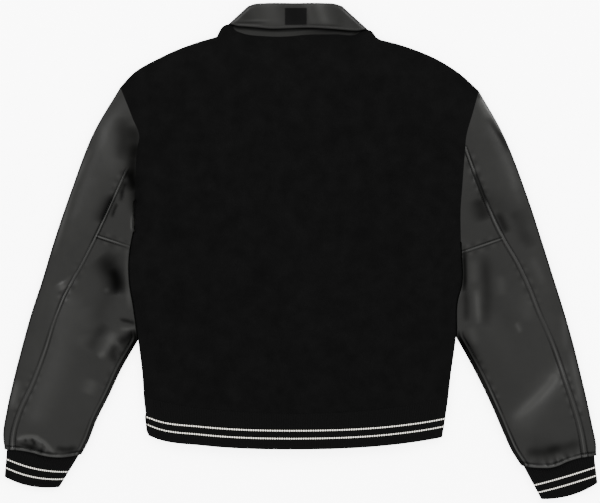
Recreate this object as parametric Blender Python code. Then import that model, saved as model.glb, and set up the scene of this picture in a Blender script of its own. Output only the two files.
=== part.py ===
"""Varsity jacket, laid flat on its front with the back up and the collar towards +Y.

Melton wool body, leather sleeves and collar, rib-knit cuffs and hem, snap caps down the front. Every
panel is one closed wall of cloth: an outer skin, the same skin moved in by the wall's thickness, and a rim
round both. Plan points below are millimetres: +X towards the wearer's right sleeve, +Y towards the collar,
floor at z = 0.
Neighbouring panels read the same skin and the same seam points, and each draws back by half the seam gap.
"""

import math

import bmesh
import bpy
import numpy as np

MM = 0.001

# ---- walls, edges and seams
WOOL = 3.0
LEATHER = 2.5
KNIT = 2.6
SEAM_GAP = 0.3
EDGE_THICKNESS = 9.0     # the folded cloth at a side edge, from the floor to the top skin
PILLOW = 5.0             # how much higher the cloth lies away from its edges
PILLOW_REACH = 30.0
FOLDS_START, FOLDS_FULL = 4.0, 26.0         # from an edge: folds begin, and folds at their whole height
NECK_EASE, CUFF_EASE = 45.0, 40.0           # the pillow and folds die away this near to neck and cuffs
CUFF_RELIEF = 0.15                          # the share of them that is left at a cuff's seam
CUFF_THICKNESS = 7.6

# ---- the front, the collar and the trims
PLACKET = 15.0           # each front runs this far past the centre line
LAP_STEP = WOOL + 0.5    # the right front lies this much higher where it laps over the left one
LAP_FULL, LAP_END = 34.0, 64.0
LEAF_LIFT = 2.8          # the leaf's points lie under the fronts and lift them
LIFT_CENTRE, LIFT_FULL, LIFT_END = (-2.0, 345.0), 150.0, 186.0
LEAF_TOP = 16.5
SNAPS, SNAP_TOP_Y, SNAP_PITCH = 6, 250.0, 95.0
SNAP_RADIUS, SNAP_DEPTH, SNAP_SIDES = 7.5, 1.2, 16
HEM_RIBS, CUFF_RIBS, RIB_HEIGHT = 120, 27, 0.9

# ---- the body's outline
SHOULDER_LEFT = [(-293, 267), (-273, 288.5), (-229, 314.5), (-201, 327.5), (-163, 341), (-147, 345.5),
                 (-135, 349.5), (-131.5, 358), (-126, 364.5), (-118, 367.5), (-111.5, 365.5)]
SHOULDER_RIGHT = [(290.5, 261), (260, 288.5), (218, 314.5), (187, 327.5), (158, 337), (138, 342), (125, 346),
                  (120.5, 352), (116, 357), (109, 359), (102, 355)]
SIDE_LEFT = [(-271, 30), (-275.5, 10), (-276, -64), (-273, -80), (-266, -129), (-263, -153), (-256.5, -210),
             (-255, -238)]
SIDE_RIGHT = [(261, 13), (262, -5), (262, -56), (255.5, -80), (253.5, -137), (244, -210), (241, -238)]
RIB_SIDE_LEFT = [(-255, -238), (-252, -262), (-248.5, -282), (-247.5, -300)]
RIB_SIDE_RIGHT = [(241, -238), (239, -259), (235.5, -282), (231, -303)]
ARMHOLE_LEFT = [(-293, 267), (-273, 217), (-261.5, 184), (-264.5, 169.5), (-268, 116), (-270.5, 55),
                (-271, 30)]
ARMHOLE_RIGHT = [(290.5, 261), (281, 227), (269, 182.5), (267.8, 168), (262.5, 98), (260.5, 72), (261.3, 13)]
RIB_SEAM = [(-255, -238), (-190, -252), (-100, -261), (0, -264), (100, -260), (185, -249), (241, -238)]
HEM = [(-247.5, -300), (-232, -306), (-160, -316), (0, -322.5), (150, -315), (215, -306), (231, -303)]
NECK_BACK = [(-111.5, 365.5), (-107, 360), (-93, 353.5), (-59, 349), (-14, 349), (5, 351), (57, 352),
             (94, 353.5), (102, 355)]
NECK_FRONT_LEFT = [(-111.5, 365.5), (-103, 335), (-78, 298), (-42, 275), (-1, 268)]
NECK_FRONT_RIGHT = [(102, 355), (95, 328), (74, 298), (40, 275), (1, 268)]

# ---- sleeve sections from the armhole to the cuff: outer edge, back seam, inner edge
SLEEVE_COLUMNS = ("outer", "seam", "inner")
SLEEVE_LEFT = [
    # outer x, y       back seam x, y   inner x, y
    ((-293, 267), (-264.5, 169.5), (-271, 30)),          # armhole
    ((-334.5, 197), (-292.5, 109), (-275, 18)),
    ((-374, 96), (-331.5, 24.5), (-277, 6)),             # piecing seam
    ((-401.5, 15), (-356, -24.5), (-276, -47)),
    ((-422.5, -54), (-381, -68.5), (-269, -109)),
    ((-437.5, -99.5), (-398, -110), (-264, -145)),       # where sleeve and body part
    ((-453.5, -156.5), (-415.5, -164.5), (-290.5, -191)),
    ((-468, -213.5), (-436, -218.5), (-312, -236.5)),
    ((-478, -259), (-456, -261.5), (-331.5, -275.5)),
    ((-484, -303), (-467.5, -305), (-345, -310)),
    ((-481.5, -322.7), (-468.3, -323.6), (-356, -331)),  # cuff seam
]
SLEEVE_RIGHT = [
    ((290.5, 261), (267.8, 168), (261.3, 13)),
    ((327, 197), (289.5, 109), (262.5, 5)),
    ((369.5, 90), (329, 20.5), (263, -3)),
    ((394, 15), (351.5, -18), (263, -56)),
    ((413.5, -47), (373, -63.5), (256.5, -109)),
    ((426.5, -88), (387.5, -100), (254.5, -142)),
    ((443, -145), (410.5, -152.5), (278, -184)),
    ((456.5, -199), (428, -203.5), (298, -223)),
    ((467.5, -246), (443, -248), (314, -257.5)),
    ((476.5, -288.5), (455, -290), (330.5, -296)),
    ((481.5, -313), (460, -317), (343.5, -324.5)),
    ((482, -332.5), (462.5, -335.1), (359, -348.8)),
]
PIECING_ROW = 2
PARTING_ROW = 5
SIDE_CLEARANCE = 1.2                        # between the sleeve's inner edge and the body's side
INNER_SEAM = {"left": 8.0, "right": 11.0}   # from the inner edge to the inner seam
CUFF_INSET = 3.5                            # the leather stands this much wider than the cuff
CUFF_MOUTH = {"left": ((-481.5, -367), (-392, -384)), "right": ((484, -377), (392, -403.8))}
CUFF_SAG = 7.5                              # the middle of a cuff's mouth lies this much further out

# ---- the collar
LEAF_SIDE_LEFT = [(-117, 369), (-101, 384.5), (-85, 398.5)]
LEAF_SIDE_RIGHT = [(109.5, 360.8), (87.5, 380), (68, 398.5)]
LEAF_FOLD_BACK = [(-85, 398.5), (-74, 402.2), (-58, 403.4), (-9, 403.5), (40, 403.5), (56, 402.4),
                  (68, 398.5)]
LEAF_EDGE_BACK = [(-117, 369), (-110, 367.6), (-103, 365.4), (-89, 364.2), (-70, 362.6), (-47, 360.6), (-22, 361.2),
                  (14, 362.3), (38, 361.2), (61, 359.6), (82, 357.8), (96, 357.8), (103, 359.4), (109.5, 360.8)]
LEAF_FOLD_FRONT = {"left": [(-85, 398.5), (-66, 372), (-48, 345), (-25, 315), (-3, 296)],
                   "right": [(68, 398.5), (58, 372), (44, 345), (24, 315), (3, 296)]}
LEAF_EDGE_FRONT = {"left": [(-117, 369), (-105, 368.6), (-100, 345), (-95, 305), (-80, 256)],
                   "right": [(109.5, 360.8), (98, 359.6), (93, 335), (90, 300), (76, 256)]}
STAND_FOLD_BACK = [(-81, 392), (-70, 396), (-9, 396.5), (50, 396), (63, 392)]
STAND_FOLD_FRONT = {"left": [(-81, 392), (-62, 366), (-44, 340), (-22, 311), (-3, 292)],
                    "right": [(63, 392), (52, 366), (40, 340), (20, 311), (3, 292)]}
STAND_CORNER = {"left": (1.5, 1.7), "right": (-1.6, 1.8)}   # how far its seam steps up at the neck's sides
STAND_LAP_START, STAND_LAP_FULL = 392.0, 330.0              # its lapping end rises from the fold down to here
STAND_ROWS = (0, 0.35, 0.7, 1)                              # shares of the way from the neck seam to the fold
LEAF_ROWS = (1, 0.94, 0.8, 0.4, 0)                          # the same, from the leaf's edge
PATCH_BOX = ((-24.5, 367), (10, 394))
PATCH_THICKNESS = 1.0

# ---- the largest folds; a height below nothing is a trough
FOLD_COLUMNS = ("name", "line", "half_width", "height")
FOLDS = [
    ("left side trough", [(-203, 160), (-206, 40), (-196, -80), (-152, -176)], 22, -2.6),
    ("left side crest", [(-236, 120), (-243, 0), (-232, -110)], 20, 2.6),
    ("middle trough", [(-62, 50), (-57, -80), (-33, -162), (-14, -240)], 20, -2.4),
    ("middle crest", [(-20, 60), (-8, -70), (20, -160)], 20, 2.2),
    ("right of middle trough", [(20, 42), (40, -110), (62, -194), (98, -245)], 20, -2.4),
    ("right trough", [(122, 132), (154, 0), (163, -96)], 22, -2.4),
    ("right side crest", [(215, 150), (222, 20), (206, -110)], 20, 2.6),
    ("shoulder blade trough", [(90, 246), (140, 205), (196, 164)], 22, -1.8),
    ("left hem crest", [(-74, -145), (-40, -215), (-25, -258)], 16, 2.0),
    ("right hem crest", [(150, -215), (165, -240)], 16, 1.8),
    ("left upper arm crest", [(-305, 205), (-325, 130), (-352, 60)], 20, 4.0),
    ("left elbow trough", [(-300, -12), (-306, -60), (-330, -110)], 18, -3.0),
    ("left forearm crest", [(-372, -90), (-392, -180), (-420, -260)], 20, 3.4),
    ("left crotch crest", [(-290, -140), (-325, -150), (-352, -148)], 12, 2.4),
    ("right upper arm crest", [(318, 190), (340, 120), (362, 50)], 20, 4.0),
    ("right underarm trough", [(298, 82), (330, 66), (362, 56)], 16, -2.4),
    ("right elbow crest", [(291, -62), (300, -110), (322, -150)], 15, 3.0),
    ("right elbow trough", [(305, -32), (310, -80), (332, -112)], 14, -2.6),
    ("right forearm crest", [(415, -202), (385, -240), (359, -275)], 18, 3.4),
    ("right cuff trough", [(383, -313), (411, -318), (440, -312)], 12, -2.0),
]

# ---- materials: name, linear colour, roughness, metallic
WOOL_MATERIAL = ("melton_wool", (0.0045, 0.0045, 0.0048), 0.95, 0.0)
LEATHER_MATERIAL = ("sleeve_leather", (0.030, 0.030, 0.028), 0.42, 0.0)
KNIT_MATERIAL = ("rib_knit", (0.006, 0.006, 0.006), 0.9, 0.0)
SNAP_MATERIAL = ("snap_enamel", (0.01, 0.01, 0.01), 0.3, 0.0)


# ---------------------------------------------------------------- lines in plan
class Line:
    """A smooth line through plan points, read at a share of its length or at one of its points."""

    STEPS = 12

    def __init__(self, points):
        p = np.array(points, float)
        h = np.linalg.norm(np.diff(p, axis=0), axis=1)[:, None]
        slope = np.diff(p, axis=0) / h
        inner = (slope[:-1] * h[1:] + slope[1:] * h[:-1]) / (h[1:] + h[:-1])
        m = np.vstack([slope[:1], inner, slope[-1:]])
        t = np.linspace(0, 1, self.STEPS + 1)[1:, None]
        parts = [p[:1]]
        for i in range(len(h)):
            parts.append((2 * t**3 - 3 * t**2 + 1) * p[i] + (t**3 - 2 * t**2 + t) * h[i] * m[i]
                         + (3 * t**2 - 2 * t**3) * p[i + 1] + (t**3 - t**2) * h[i] * m[i + 1])
        self.dense = np.vstack(parts)
        steps = np.linalg.norm(np.diff(self.dense, axis=0), axis=1)
        self.along = np.concatenate([[0], np.cumsum(steps)])
        self.length = self.along[-1]

    def at(self, shares):
        where = np.asarray(shares, float) * self.length
        return np.stack([np.interp(where, self.along, self.dense[:, k]) for k in (0, 1)], axis=-1)

    def knots(self, places):
        index = np.asarray(places, float) * self.STEPS
        steps = np.arange(len(self.dense))
        return np.stack([np.interp(index, steps, self.dense[:, k]) for k in (0, 1)], axis=-1)

    def share_of(self, point):
        return self.along[np.linalg.norm(self.dense - point, axis=1).argmin()] / self.length

    def x_at(self, y):
        order = self.dense[:, 1].argsort()
        return np.interp(y, self.dense[order, 1], self.dense[order, 0])


class Stepped:
    """A line whose ends step aside, easing back to the line within a tenth of its length."""

    EASE = 0.1

    def __init__(self, line, steps):
        self.line, self.steps = line, steps

    def at(self, shares):
        points = self.line.at(shares)
        for end, step in self.steps:
            weight = np.clip(1 - np.abs(np.asarray(shares) - end) / self.EASE, 0, 1)
            points += weight[:, None] * np.array(step)
        return points


def near(points, line):
    """How far each point is from a polyline, and the nearest place on it."""
    a, b = line[:-1], line[1:]
    ab = b - a
    rel = points[:, None, :] - a[None]
    t = np.clip((rel * ab).sum(-1) / (ab * ab).sum(-1), 0, 1)
    foot = a[None] + t[..., None] * ab[None]
    far = np.linalg.norm(points[:, None, :] - foot, axis=-1)
    best = far.argmin(axis=1)
    rows = np.arange(len(points))
    return far[rows, best], foot[rows, best], best


def smoothstep(low, high, value):
    t = np.clip((value - low) / (high - low), 0, 1)
    return t * t * (3 - 2 * t)


def level(height):
    """A skin's height that is the same all over."""
    return lambda xy: np.full(len(xy), height)


def step_lengths(points):
    return np.linalg.norm(np.diff(points, axis=0), axis=1)


def run_shares(points):
    """How far along a line each of its points lies, from 0 to 1."""
    run = np.concatenate([[0], np.cumsum(step_lengths(points))])
    return run / run[-1]


def chain(*runs):
    """Runs of points that follow one another, each shared end kept once."""
    return np.vstack([runs[0]] + [run[1:] for run in runs[1:]])


def coons(first, last, left, right):
    """Plan points of a patch between its first and last rows and its left and right columns."""
    s = (run_shares(first) + run_shares(last))[None, :, None] / 2
    t = (run_shares(left) + run_shares(right))[:, None, None] / 2
    corners = (1 - s) * (1 - t) * first[0] + s * (1 - t) * first[-1] + (1 - s) * t * last[0] + s * t * last[-1]
    return (1 - t) * first[None] + t * last[None] + (1 - s) * left[:, None] + s * right[:, None] - corners


# ---------------------------------------------------------------- skins
class Skin:
    """The outside of a flat tube of cloth: it rolls round its side edges and is flat underneath."""

    ON_EDGE = 0.05        # a point this near an edge counts as on it
    SLOPE_STEP = 0.5      # the slope at a point is read over this far each way
    MOST_SLOPE = 0.5

    def __init__(self, edges, floor, top, relief):
        # edges: a dense polyline each, and +1 where the cloth is on its left hand, -1 on its right
        self.edges, self.floor, self.top, self.relief = edges, floor, top, relief

    def edge(self, xy):
        """How far each point is from the nearest side edge, and the way in from there."""
        best = np.full(len(xy), np.inf)
        inward = np.zeros((len(xy), 2))
        for line, hand in self.edges:
            far, foot, segment = near(xy, line)
            run = np.diff(line, axis=0)[segment]
            run /= np.linalg.norm(run, axis=1)[:, None]
            across = hand * np.stack([-run[:, 1], run[:, 0]], axis=1)
            away = xy - foot
            clear = far > self.ON_EDGE
            across[clear] = away[clear] / far[clear][:, None]
            closer = far < best
            best[closer], inward[closer] = far[closer], across[closer]
        return best, inward

    def height(self, xy, side):
        """The skin's height where it lies flat, before the roll at its edges."""
        if side < 0:
            return self.floor(xy)
        far, _ = self.edge(xy)
        return self.top(xy) + self.relief(xy, far)

    def place(self, xy, side):
        """Points of the skin and its outward normals. side is +1 on top and -1 underneath."""
        far, inward = self.edge(xy)
        low, high = self.floor(xy), self.top(xy)
        radius, middle = (high - low) / 2, (high + low) / 2
        c = np.clip(1 - far / radius, 0, 1)
        s = np.sqrt(1 - c * c)
        flat = self.height(xy, side)
        z = np.where(far < radius, middle + side * radius * s, flat)
        if side > 0:
            z = z + np.where(far < radius, self.relief(xy, far), 0) * s
        slope = np.stack([(self.height(xy + d, side) - self.height(xy - d, side)) / (2 * self.SLOPE_STEP)
                          for d in self.SLOPE_STEP * np.eye(2)], axis=1)
        slope = np.clip(slope, -self.MOST_SLOPE, self.MOST_SLOPE) * (far > radius)[:, None]
        normal = np.column_stack([-inward * c[:, None] - side * slope * s[:, None], side * s])
        return np.column_stack([xy, z]), normal / np.linalg.norm(normal, axis=1)[:, None]


def lap(x):
    """How far the right front is lifted where it laps over the left one."""
    return LAP_STEP * (1 - smoothstep(LAP_FULL, LAP_END, x))


def neck_lift(xy):
    """How far the cloth round the neck is lifted by the collar's leaf underneath."""
    far = np.linalg.norm(xy - np.array(LIFT_CENTRE), axis=1)
    return LEAF_LIFT * (1 - smoothstep(LIFT_FULL, LIFT_END, far))


def fold_height(xy):
    """The height that the folds add: each is a soft ridge or trough along its line."""
    total = np.zeros(len(xy))
    for points, width, height in FOLD_LINES:
        far, _, _ = near(xy, points)
        total += height * np.exp(-((far / width) ** 2))
    return total


# ---------------------------------------------------------------- solids
def new_material(spec):
    name, colour, roughness, metallic = spec
    material = bpy.data.materials.get(name)
    if material is None:
        material = bpy.data.materials.new(name)
        material.use_nodes = True
        shader = material.node_tree.nodes["Principled BSDF"]
        shader.inputs["Base Color"].default_value = (*colour, 1)
        shader.inputs["Roughness"].default_value = roughness
        shader.inputs["Metallic"].default_value = metallic
        material.diffuse_color = (*colour, 1)
    return material


def draw_in(grid, closed):
    """Draws the rim points of a grid back by half the seam gap, towards their neighbours in the grid."""
    g = grid.copy()
    ends = [(0, 1), (-1, -2)]
    for rim, inside in ends:
        step = grid[inside] - grid[rim]
        g[rim] += step / np.linalg.norm(step, axis=-1, keepdims=True) * SEAM_GAP / 2
    if not closed:
        for rim, inside in ends:
            step = grid[:, inside] - grid[:, rim]
            g[:, rim] += step / np.linalg.norm(step, axis=-1, keepdims=True) * SEAM_GAP / 2
    return g


def keep_in_seams(outer, inner, seams):
    """Turns the wall's thickness along its seams, so that no rim reaches over a seam line in plan."""
    ends = {"first": (0,), "last": (-1,), "left": (slice(None), 0), "right": (slice(None), -1)}
    for end, span in seams:
        line, lining = outer[ends[end]][span], inner[ends[end]][span]
        run = np.diff(line[:, :2], axis=0)
        run = np.vstack([run, run[-1:]])
        run /= np.linalg.norm(run, axis=1)[:, None]
        across = lining[:, :2] - line[:, :2]
        lining[:, :2] = line[:, :2] + (across * run).sum(axis=1)[:, None] * run


def wall_of(name, outer, inner, material, seams=(), closed=False):
    """One closed wall between an outer and an inner grid of points, in millimetres."""
    keep_in_seams(outer, inner, seams)
    outer, inner = draw_in(outer, closed), draw_in(inner, closed)
    rows, columns = outer.shape[:2]
    count = rows * columns
    points = np.vstack([outer.reshape(-1, 3), inner.reshape(-1, 3)]) * MM

    def at(i, j, skin):
        return skin * count + i * columns + j % columns

    faces = []
    last = columns if closed else columns - 1
    for i in range(rows - 1):
        for j in range(last):
            faces.append((at(i, j, 0), at(i, j + 1, 0), at(i + 1, j + 1, 0), at(i + 1, j, 0)))
            faces.append((at(i, j, 1), at(i + 1, j, 1), at(i + 1, j + 1, 1), at(i, j + 1, 1)))
    for i in (0, rows - 1):
        for j in range(last):
            rim = (at(i, j, 0), at(i, j, 1), at(i, j + 1, 1), at(i, j + 1, 0))
            faces.append(rim if i == 0 else rim[::-1])
    if not closed:
        for j in (0, columns - 1):
            for i in range(rows - 1):
                rim = (at(i, j, 0), at(i + 1, j, 0), at(i + 1, j, 1), at(i, j, 1))
                faces.append(rim if j == 0 else rim[::-1])
    mesh = bpy.data.meshes.new(name)
    mesh.from_pydata(points.tolist(), [], faces)
    mesh.update()
    turn_outwards(mesh)
    mesh.materials.append(new_material(material))
    mesh.shade_smooth()
    mesh.set_sharp_from_angle(angle=math.radians(50))
    piece = bpy.data.objects.new(name, mesh)
    bpy.context.scene.collection.objects.link(piece)
    return piece


def turn_outwards(mesh):
    """Flips every face when the mesh's signed volume says that it is inside out."""
    volume = 0.0
    mesh.calc_loop_triangles()
    for tri in mesh.loop_triangles:
        a, b, c = (mesh.vertices[i].co for i in tri.vertices)
        volume += a.dot(b.cross(c))
    if volume < 0:
        mesh.flip_normals()


def dressed(skin, columns, wall):
    """Outer and inner grids from a list of (plan grid, side) runs that follow one another across a piece."""
    outer, inner = [], []
    for plan, side in columns:
        rows, count = plan.shape[:2]
        point, normal = skin.place(plan.reshape(-1, 2), side)
        outer.append(point.reshape(rows, count, 3))
        inner.append((point - wall * normal).reshape(rows, count, 3))
    return np.concatenate(outer, axis=1), np.concatenate(inner, axis=1)


def between(a, b, shares):
    return a[None] + np.asarray(shares, float)[:, None] * (b - a)[None]


# ---------------------------------------------------------------- the lines that the pieces share
SHOULDER = {"left": Line(SHOULDER_LEFT), "right": Line(SHOULDER_RIGHT)}
SIDE = {"left": Line(SIDE_LEFT), "right": Line(SIDE_RIGHT)}
RIB_SIDE = {"left": Line(RIB_SIDE_LEFT), "right": Line(RIB_SIDE_RIGHT)}
ARMHOLE = {"left": Line(ARMHOLE_LEFT), "right": Line(ARMHOLE_RIGHT)}
NECK_FRONT = {"left": Line(NECK_FRONT_LEFT), "right": Line(NECK_FRONT_RIGHT)}
SLEEVES = {"left": SLEEVE_LEFT, "right": SLEEVE_RIGHT}
NECK = Line(NECK_BACK)
SEAM_LINE = Line(RIB_SEAM)
HEM_LINE = Line(HEM)
FOLD_TABLE = [dict(zip(FOLD_COLUMNS, row)) for row in FOLDS]
FOLD_LINES = [(Line(fold["line"]).dense, fold["half_width"], fold["height"]) for fold in FOLD_TABLE]
HAND = {"left": 1, "right": -1}

# shares of a stretch at which the grids have their lines; each stretch is finer where the cloth rolls
OUTER_TO_SEAM = [0, 0.02, 0.06, 0.19, 0.5, 1]
SEAM_TO_INNER_SEAM = [0, 0.2, 0.4, 0.6, 0.8, 1]
INNER_SEAM_TO_EDGE = [0, 0.7, 1]
UNDERSIDE = [0, 0.01, 0.03, 0.09, 0.3, 0.6, 0.88, 0.965, 0.988, 1]
SHOULDER_SHARES = [0, 0.01, 0.03, 0.1, 0.27, 0.44, 0.6, 0.74, 0.82, 0.88, 0.94, 1]
NECK_BACK_SHARES = [0, 0.015, 0.045, 0.14, 0.28, 0.42, 0.58, 0.72, 0.86, 0.955, 0.985, 1]
NECK_FRONT_SHARES = [0, 0.02, 0.06, 0.2, 0.4, 0.6, 0.8, 1]
SIDE_SHARES = [0, 0.13, 0.26, 0.39, 0.52, 0.65, 0.78, 0.9, 1]


def sleeve_rows(side):
    """The places of the sleeve's rows among its sections."""
    last = len(SLEEVES[side]) - 1
    return [0, 0.5, 1, 1.5, 2, 2.5] + list(range(3, last)) + [last - 0.5, last]


def inner_edge(side):
    """The sleeve's inner edge, which keeps just clear of the body's side down to where the two part."""
    line = Line([section[2] for section in SLEEVES[side]])
    beside = slice(1, PARTING_ROW * Line.STEPS + 1)
    clear = SIDE[side].x_at(line.dense[beside, 1]) - HAND[side] * SIDE_CLEARANCE
    line.dense[beside, 0] = HAND[side] * np.minimum(HAND[side] * line.dense[beside, 0], HAND[side] * clear)
    return line


def sleeve_lines(side):
    """The sleeve's outer edge, back seam, inner seam and inner edge, a point for each row."""
    rows = sleeve_rows(side)
    lines = {"inner": inner_edge(side).knots(rows)}
    for k, name in enumerate(SLEEVE_COLUMNS[:2]):
        lines[name] = Line([section[k] for section in SLEEVES[side]]).knots(rows)
    inset = lines["seam"] - lines["inner"]
    inset *= INNER_SEAM[side] / np.linalg.norm(inset, axis=1)[:, None]
    lines["inner_seam"] = lines["inner"] + inset
    armhole = ARMHOLE[side]
    lines["inner_seam"][0] = armhole.at(1 - INNER_SEAM[side] / armhole.length)
    return rows, lines


def armhole_stretch(side, name):
    """Points of the armhole from the shoulder down, along one stretch of the sleeve's width."""
    line = ARMHOLE[side]
    seam = line.share_of(np.array(SLEEVES[side][0][1], float))
    inner_seam = 1 - INNER_SEAM[side] / line.length
    ends = {"outer": (0, seam, OUTER_TO_SEAM), "middle": (seam, inner_seam, SEAM_TO_INNER_SEAM),
            "inner": (inner_seam, 1, INNER_SEAM_TO_EDGE), "under": (0, 1, UNDERSIDE)}
    a, b, shares = ends[name]
    return line.at(a + (b - a) * np.array(shares))


def cloth_skins():
    """The body's skin and the sleeves' skin: the same surface, each rolled round its own side edges."""
    body, sleeves = [], []
    for side in ("left", "right"):
        outer = Line([section[0] for section in SLEEVES[side]]).dense
        shared = (chain(SHOULDER[side].dense[::-1], outer), HAND[side])
        body += [shared, (chain(SIDE[side].dense, RIB_SIDE[side].dense), HAND[side])]
        sleeves += [shared, (inner_edge(side).dense, -HAND[side])]
    cuffs = [np.array([SLEEVES[side][-1][0], SLEEVES[side][-1][2]], float) for side in ("left", "right")]

    def top(xy):
        return EDGE_THICKNESS + neck_lift(xy)

    def relief(xy, far):
        """The pillow and the folds, which die away at the edges, the cuffs and the collar."""
        ease = smoothstep(0, NECK_EASE, near(xy, NECK.dense)[0])
        for cuff in cuffs:
            ease = ease * (CUFF_RELIEF + (1 - CUFF_RELIEF) * smoothstep(0, CUFF_EASE, near(xy, cuff)[0]))
        inside = np.maximum(far - EDGE_THICKNESS / 2, 0)
        pillow = PILLOW * (1 - 1 / (1 + (inside / PILLOW_REACH) ** 2))
        return ease * (pillow + fold_height(xy) * smoothstep(FOLDS_START, FOLDS_FULL, far))

    return Skin(body, neck_lift, top, relief), Skin(sleeves, neck_lift, top, relief)


def raised(skin, height):
    """The same skin with its underside lifted by height(xy), for the front that laps over the other."""
    return Skin(skin.edges, lambda xy: skin.floor(xy) + height(xy), skin.top, skin.relief)


BODY, SLEEVE = cloth_skins()
LAPPED = raised(BODY, lambda xy: lap(xy[:, 0]))


# ---------------------------------------------------------------- the wool body
def side_column(side, armhole):
    """Points up one side of the body: the side seam from the rib, then the armhole to the shoulder."""
    return chain(SIDE[side].at(1 - np.array(SIDE_SHARES)), armhole[::-1])


def rib_seam_points(above, start, end):
    """Points of the rib seam between two shares of it, spaced as the line above it is."""
    return SEAM_LINE.at(start + (end - start) * run_shares(above))


def rib_seam_share(x):
    """The share of the rib seam's length at a place across the jacket."""
    return SEAM_LINE.along[np.abs(SEAM_LINE.dense[:, 0] - x).argmin()] / SEAM_LINE.length


def make_back():
    columns = {}
    for side in ("left", "right"):
        whole = [armhole_stretch(side, name) for name in ("outer", "middle", "inner")]
        columns[side] = side_column(side, chain(*whole))
    top = chain(SHOULDER["left"].at(SHOULDER_SHARES), NECK.at(NECK_BACK_SHARES),
                SHOULDER["right"].at(SHOULDER_SHARES)[::-1])
    plan = coons(rib_seam_points(top, 0, 1), top, columns["left"], columns["right"])
    outer, inner = dressed(BODY, [(plan, 1)], WOOL)
    armhole = slice(len(SIDE_SHARES) - 1, None)
    neckline = slice(len(SHOULDER_SHARES) - 1, 1 - len(SHOULDER_SHARES))
    seams = [("first", slice(None)), ("left", armhole), ("right", armhole), ("last", neckline)]
    return wall_of("back", outer, inner, WOOL_MATERIAL, seams)


def make_front(side):
    """A front panel: it lies underneath, from the side seam and armhole to the placket's edge."""
    edge_x = PLACKET * HAND[side]
    neck = NECK_FRONT[side].at(NECK_FRONT_SHARES)
    placket_top = np.array([[edge_x, neck[-1][1]]])
    top = chain(SHOULDER[side].at(SHOULDER_SHARES), neck, np.vstack([neck[-1:], placket_top]))
    column = side_column(side, armhole_stretch(side, "under"))
    start = 0 if side == "left" else 1
    bottom = rib_seam_points(top, start, rib_seam_share(edge_x))
    placket = between(bottom[-1], placket_top[0], run_shares(column))
    plan = coons(bottom, top, column, placket)
    outer, inner = dressed(BODY if side == "left" else LAPPED, [(plan, -1)], WOOL)
    seams = [("first", slice(None)), ("left", slice(len(SIDE_SHARES) - 1, None)),
             ("last", slice(len(SHOULDER_SHARES) - 1, None))]
    return wall_of(f"front_{side}", outer, inner, WOOL_MATERIAL, seams)


# ---------------------------------------------------------------- sleeves and cuffs
SEWN_ALL_ROUND = [(end, slice(None)) for end in ("first", "last", "left", "right")]
PIECING_EASE = 3          # the rows beside the straight piecing seam follow it, less and less, over this many
RIB_MARGIN = 0.06         # of a cuff's width on each side, left plain where the knit rolls
CUFF_ROWS = (0, 0.5, 1)
CUFF_ROLL = [0, 0.015, 0.035]
CUFF_UNDER = [1, 0.985, 0.965, 0.9, 0.7, 0.5, 0.3, 0.1, 0.035, 0.015]


def make_sleeve(side):
    """A sleeve's large upper panel, and the two pieces of its under panel that show on the back."""
    rows, lines = sleeve_lines(side)
    outer, seam, inner_seam, inner = (lines[k] for k in ("outer", "seam", "inner_seam", "inner"))
    width = coons(armhole_stretch(side, "outer"), between(outer[-1], seam[-1], OUTER_TO_SEAM), outer, seam)
    edge = coons(armhole_stretch(side, "inner"), between(inner_seam[-1], inner[-1], INNER_SEAM_TO_EDGE),
                 inner_seam, inner)
    under = coons(armhole_stretch(side, "under"), between(outer[-1], inner[-1], UNDERSIDE), outer, inner)
    runs = [(width[:, ::-1], 1), (under[:, 1:], -1), (edge[:, -2::-1], 1)]
    skin, lining = dressed(SLEEVE, runs, LEATHER)
    wall_of(f"sleeve_upper_{side}", skin, lining, LEATHER_MATERIAL, SEWN_ALL_ROUND)
    middle = coons(armhole_stretch(side, "middle"), between(seam[-1], inner_seam[-1], SEAM_TO_INNER_SEAM),
                   seam, inner_seam)
    cut = rows.index(PIECING_ROW)
    straight = between(seam[cut], inner_seam[cut], SEAM_TO_INNER_SEAM)
    shift = straight - middle[cut]
    for i in range(1, len(rows) - 1):
        middle[i] += shift * max(0, 1 - abs(i - cut) / PIECING_EASE)
    for name, part in (("top", middle[: cut + 1]), ("low", middle[cut:])):
        skin, lining = dressed(SLEEVE, [(part, 1)], LEATHER)
        wall_of(f"sleeve_under_{name}_{side}", skin, lining, LEATHER_MATERIAL, SEWN_ALL_ROUND)


def raise_ribs(grid, before, ribs):
    """Lifts every second column, so that ribs stand up after the plain columns before them."""
    grid[:, before + 1 : before + 2 * ribs : 2, 2] += RIB_HEIGHT


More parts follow.
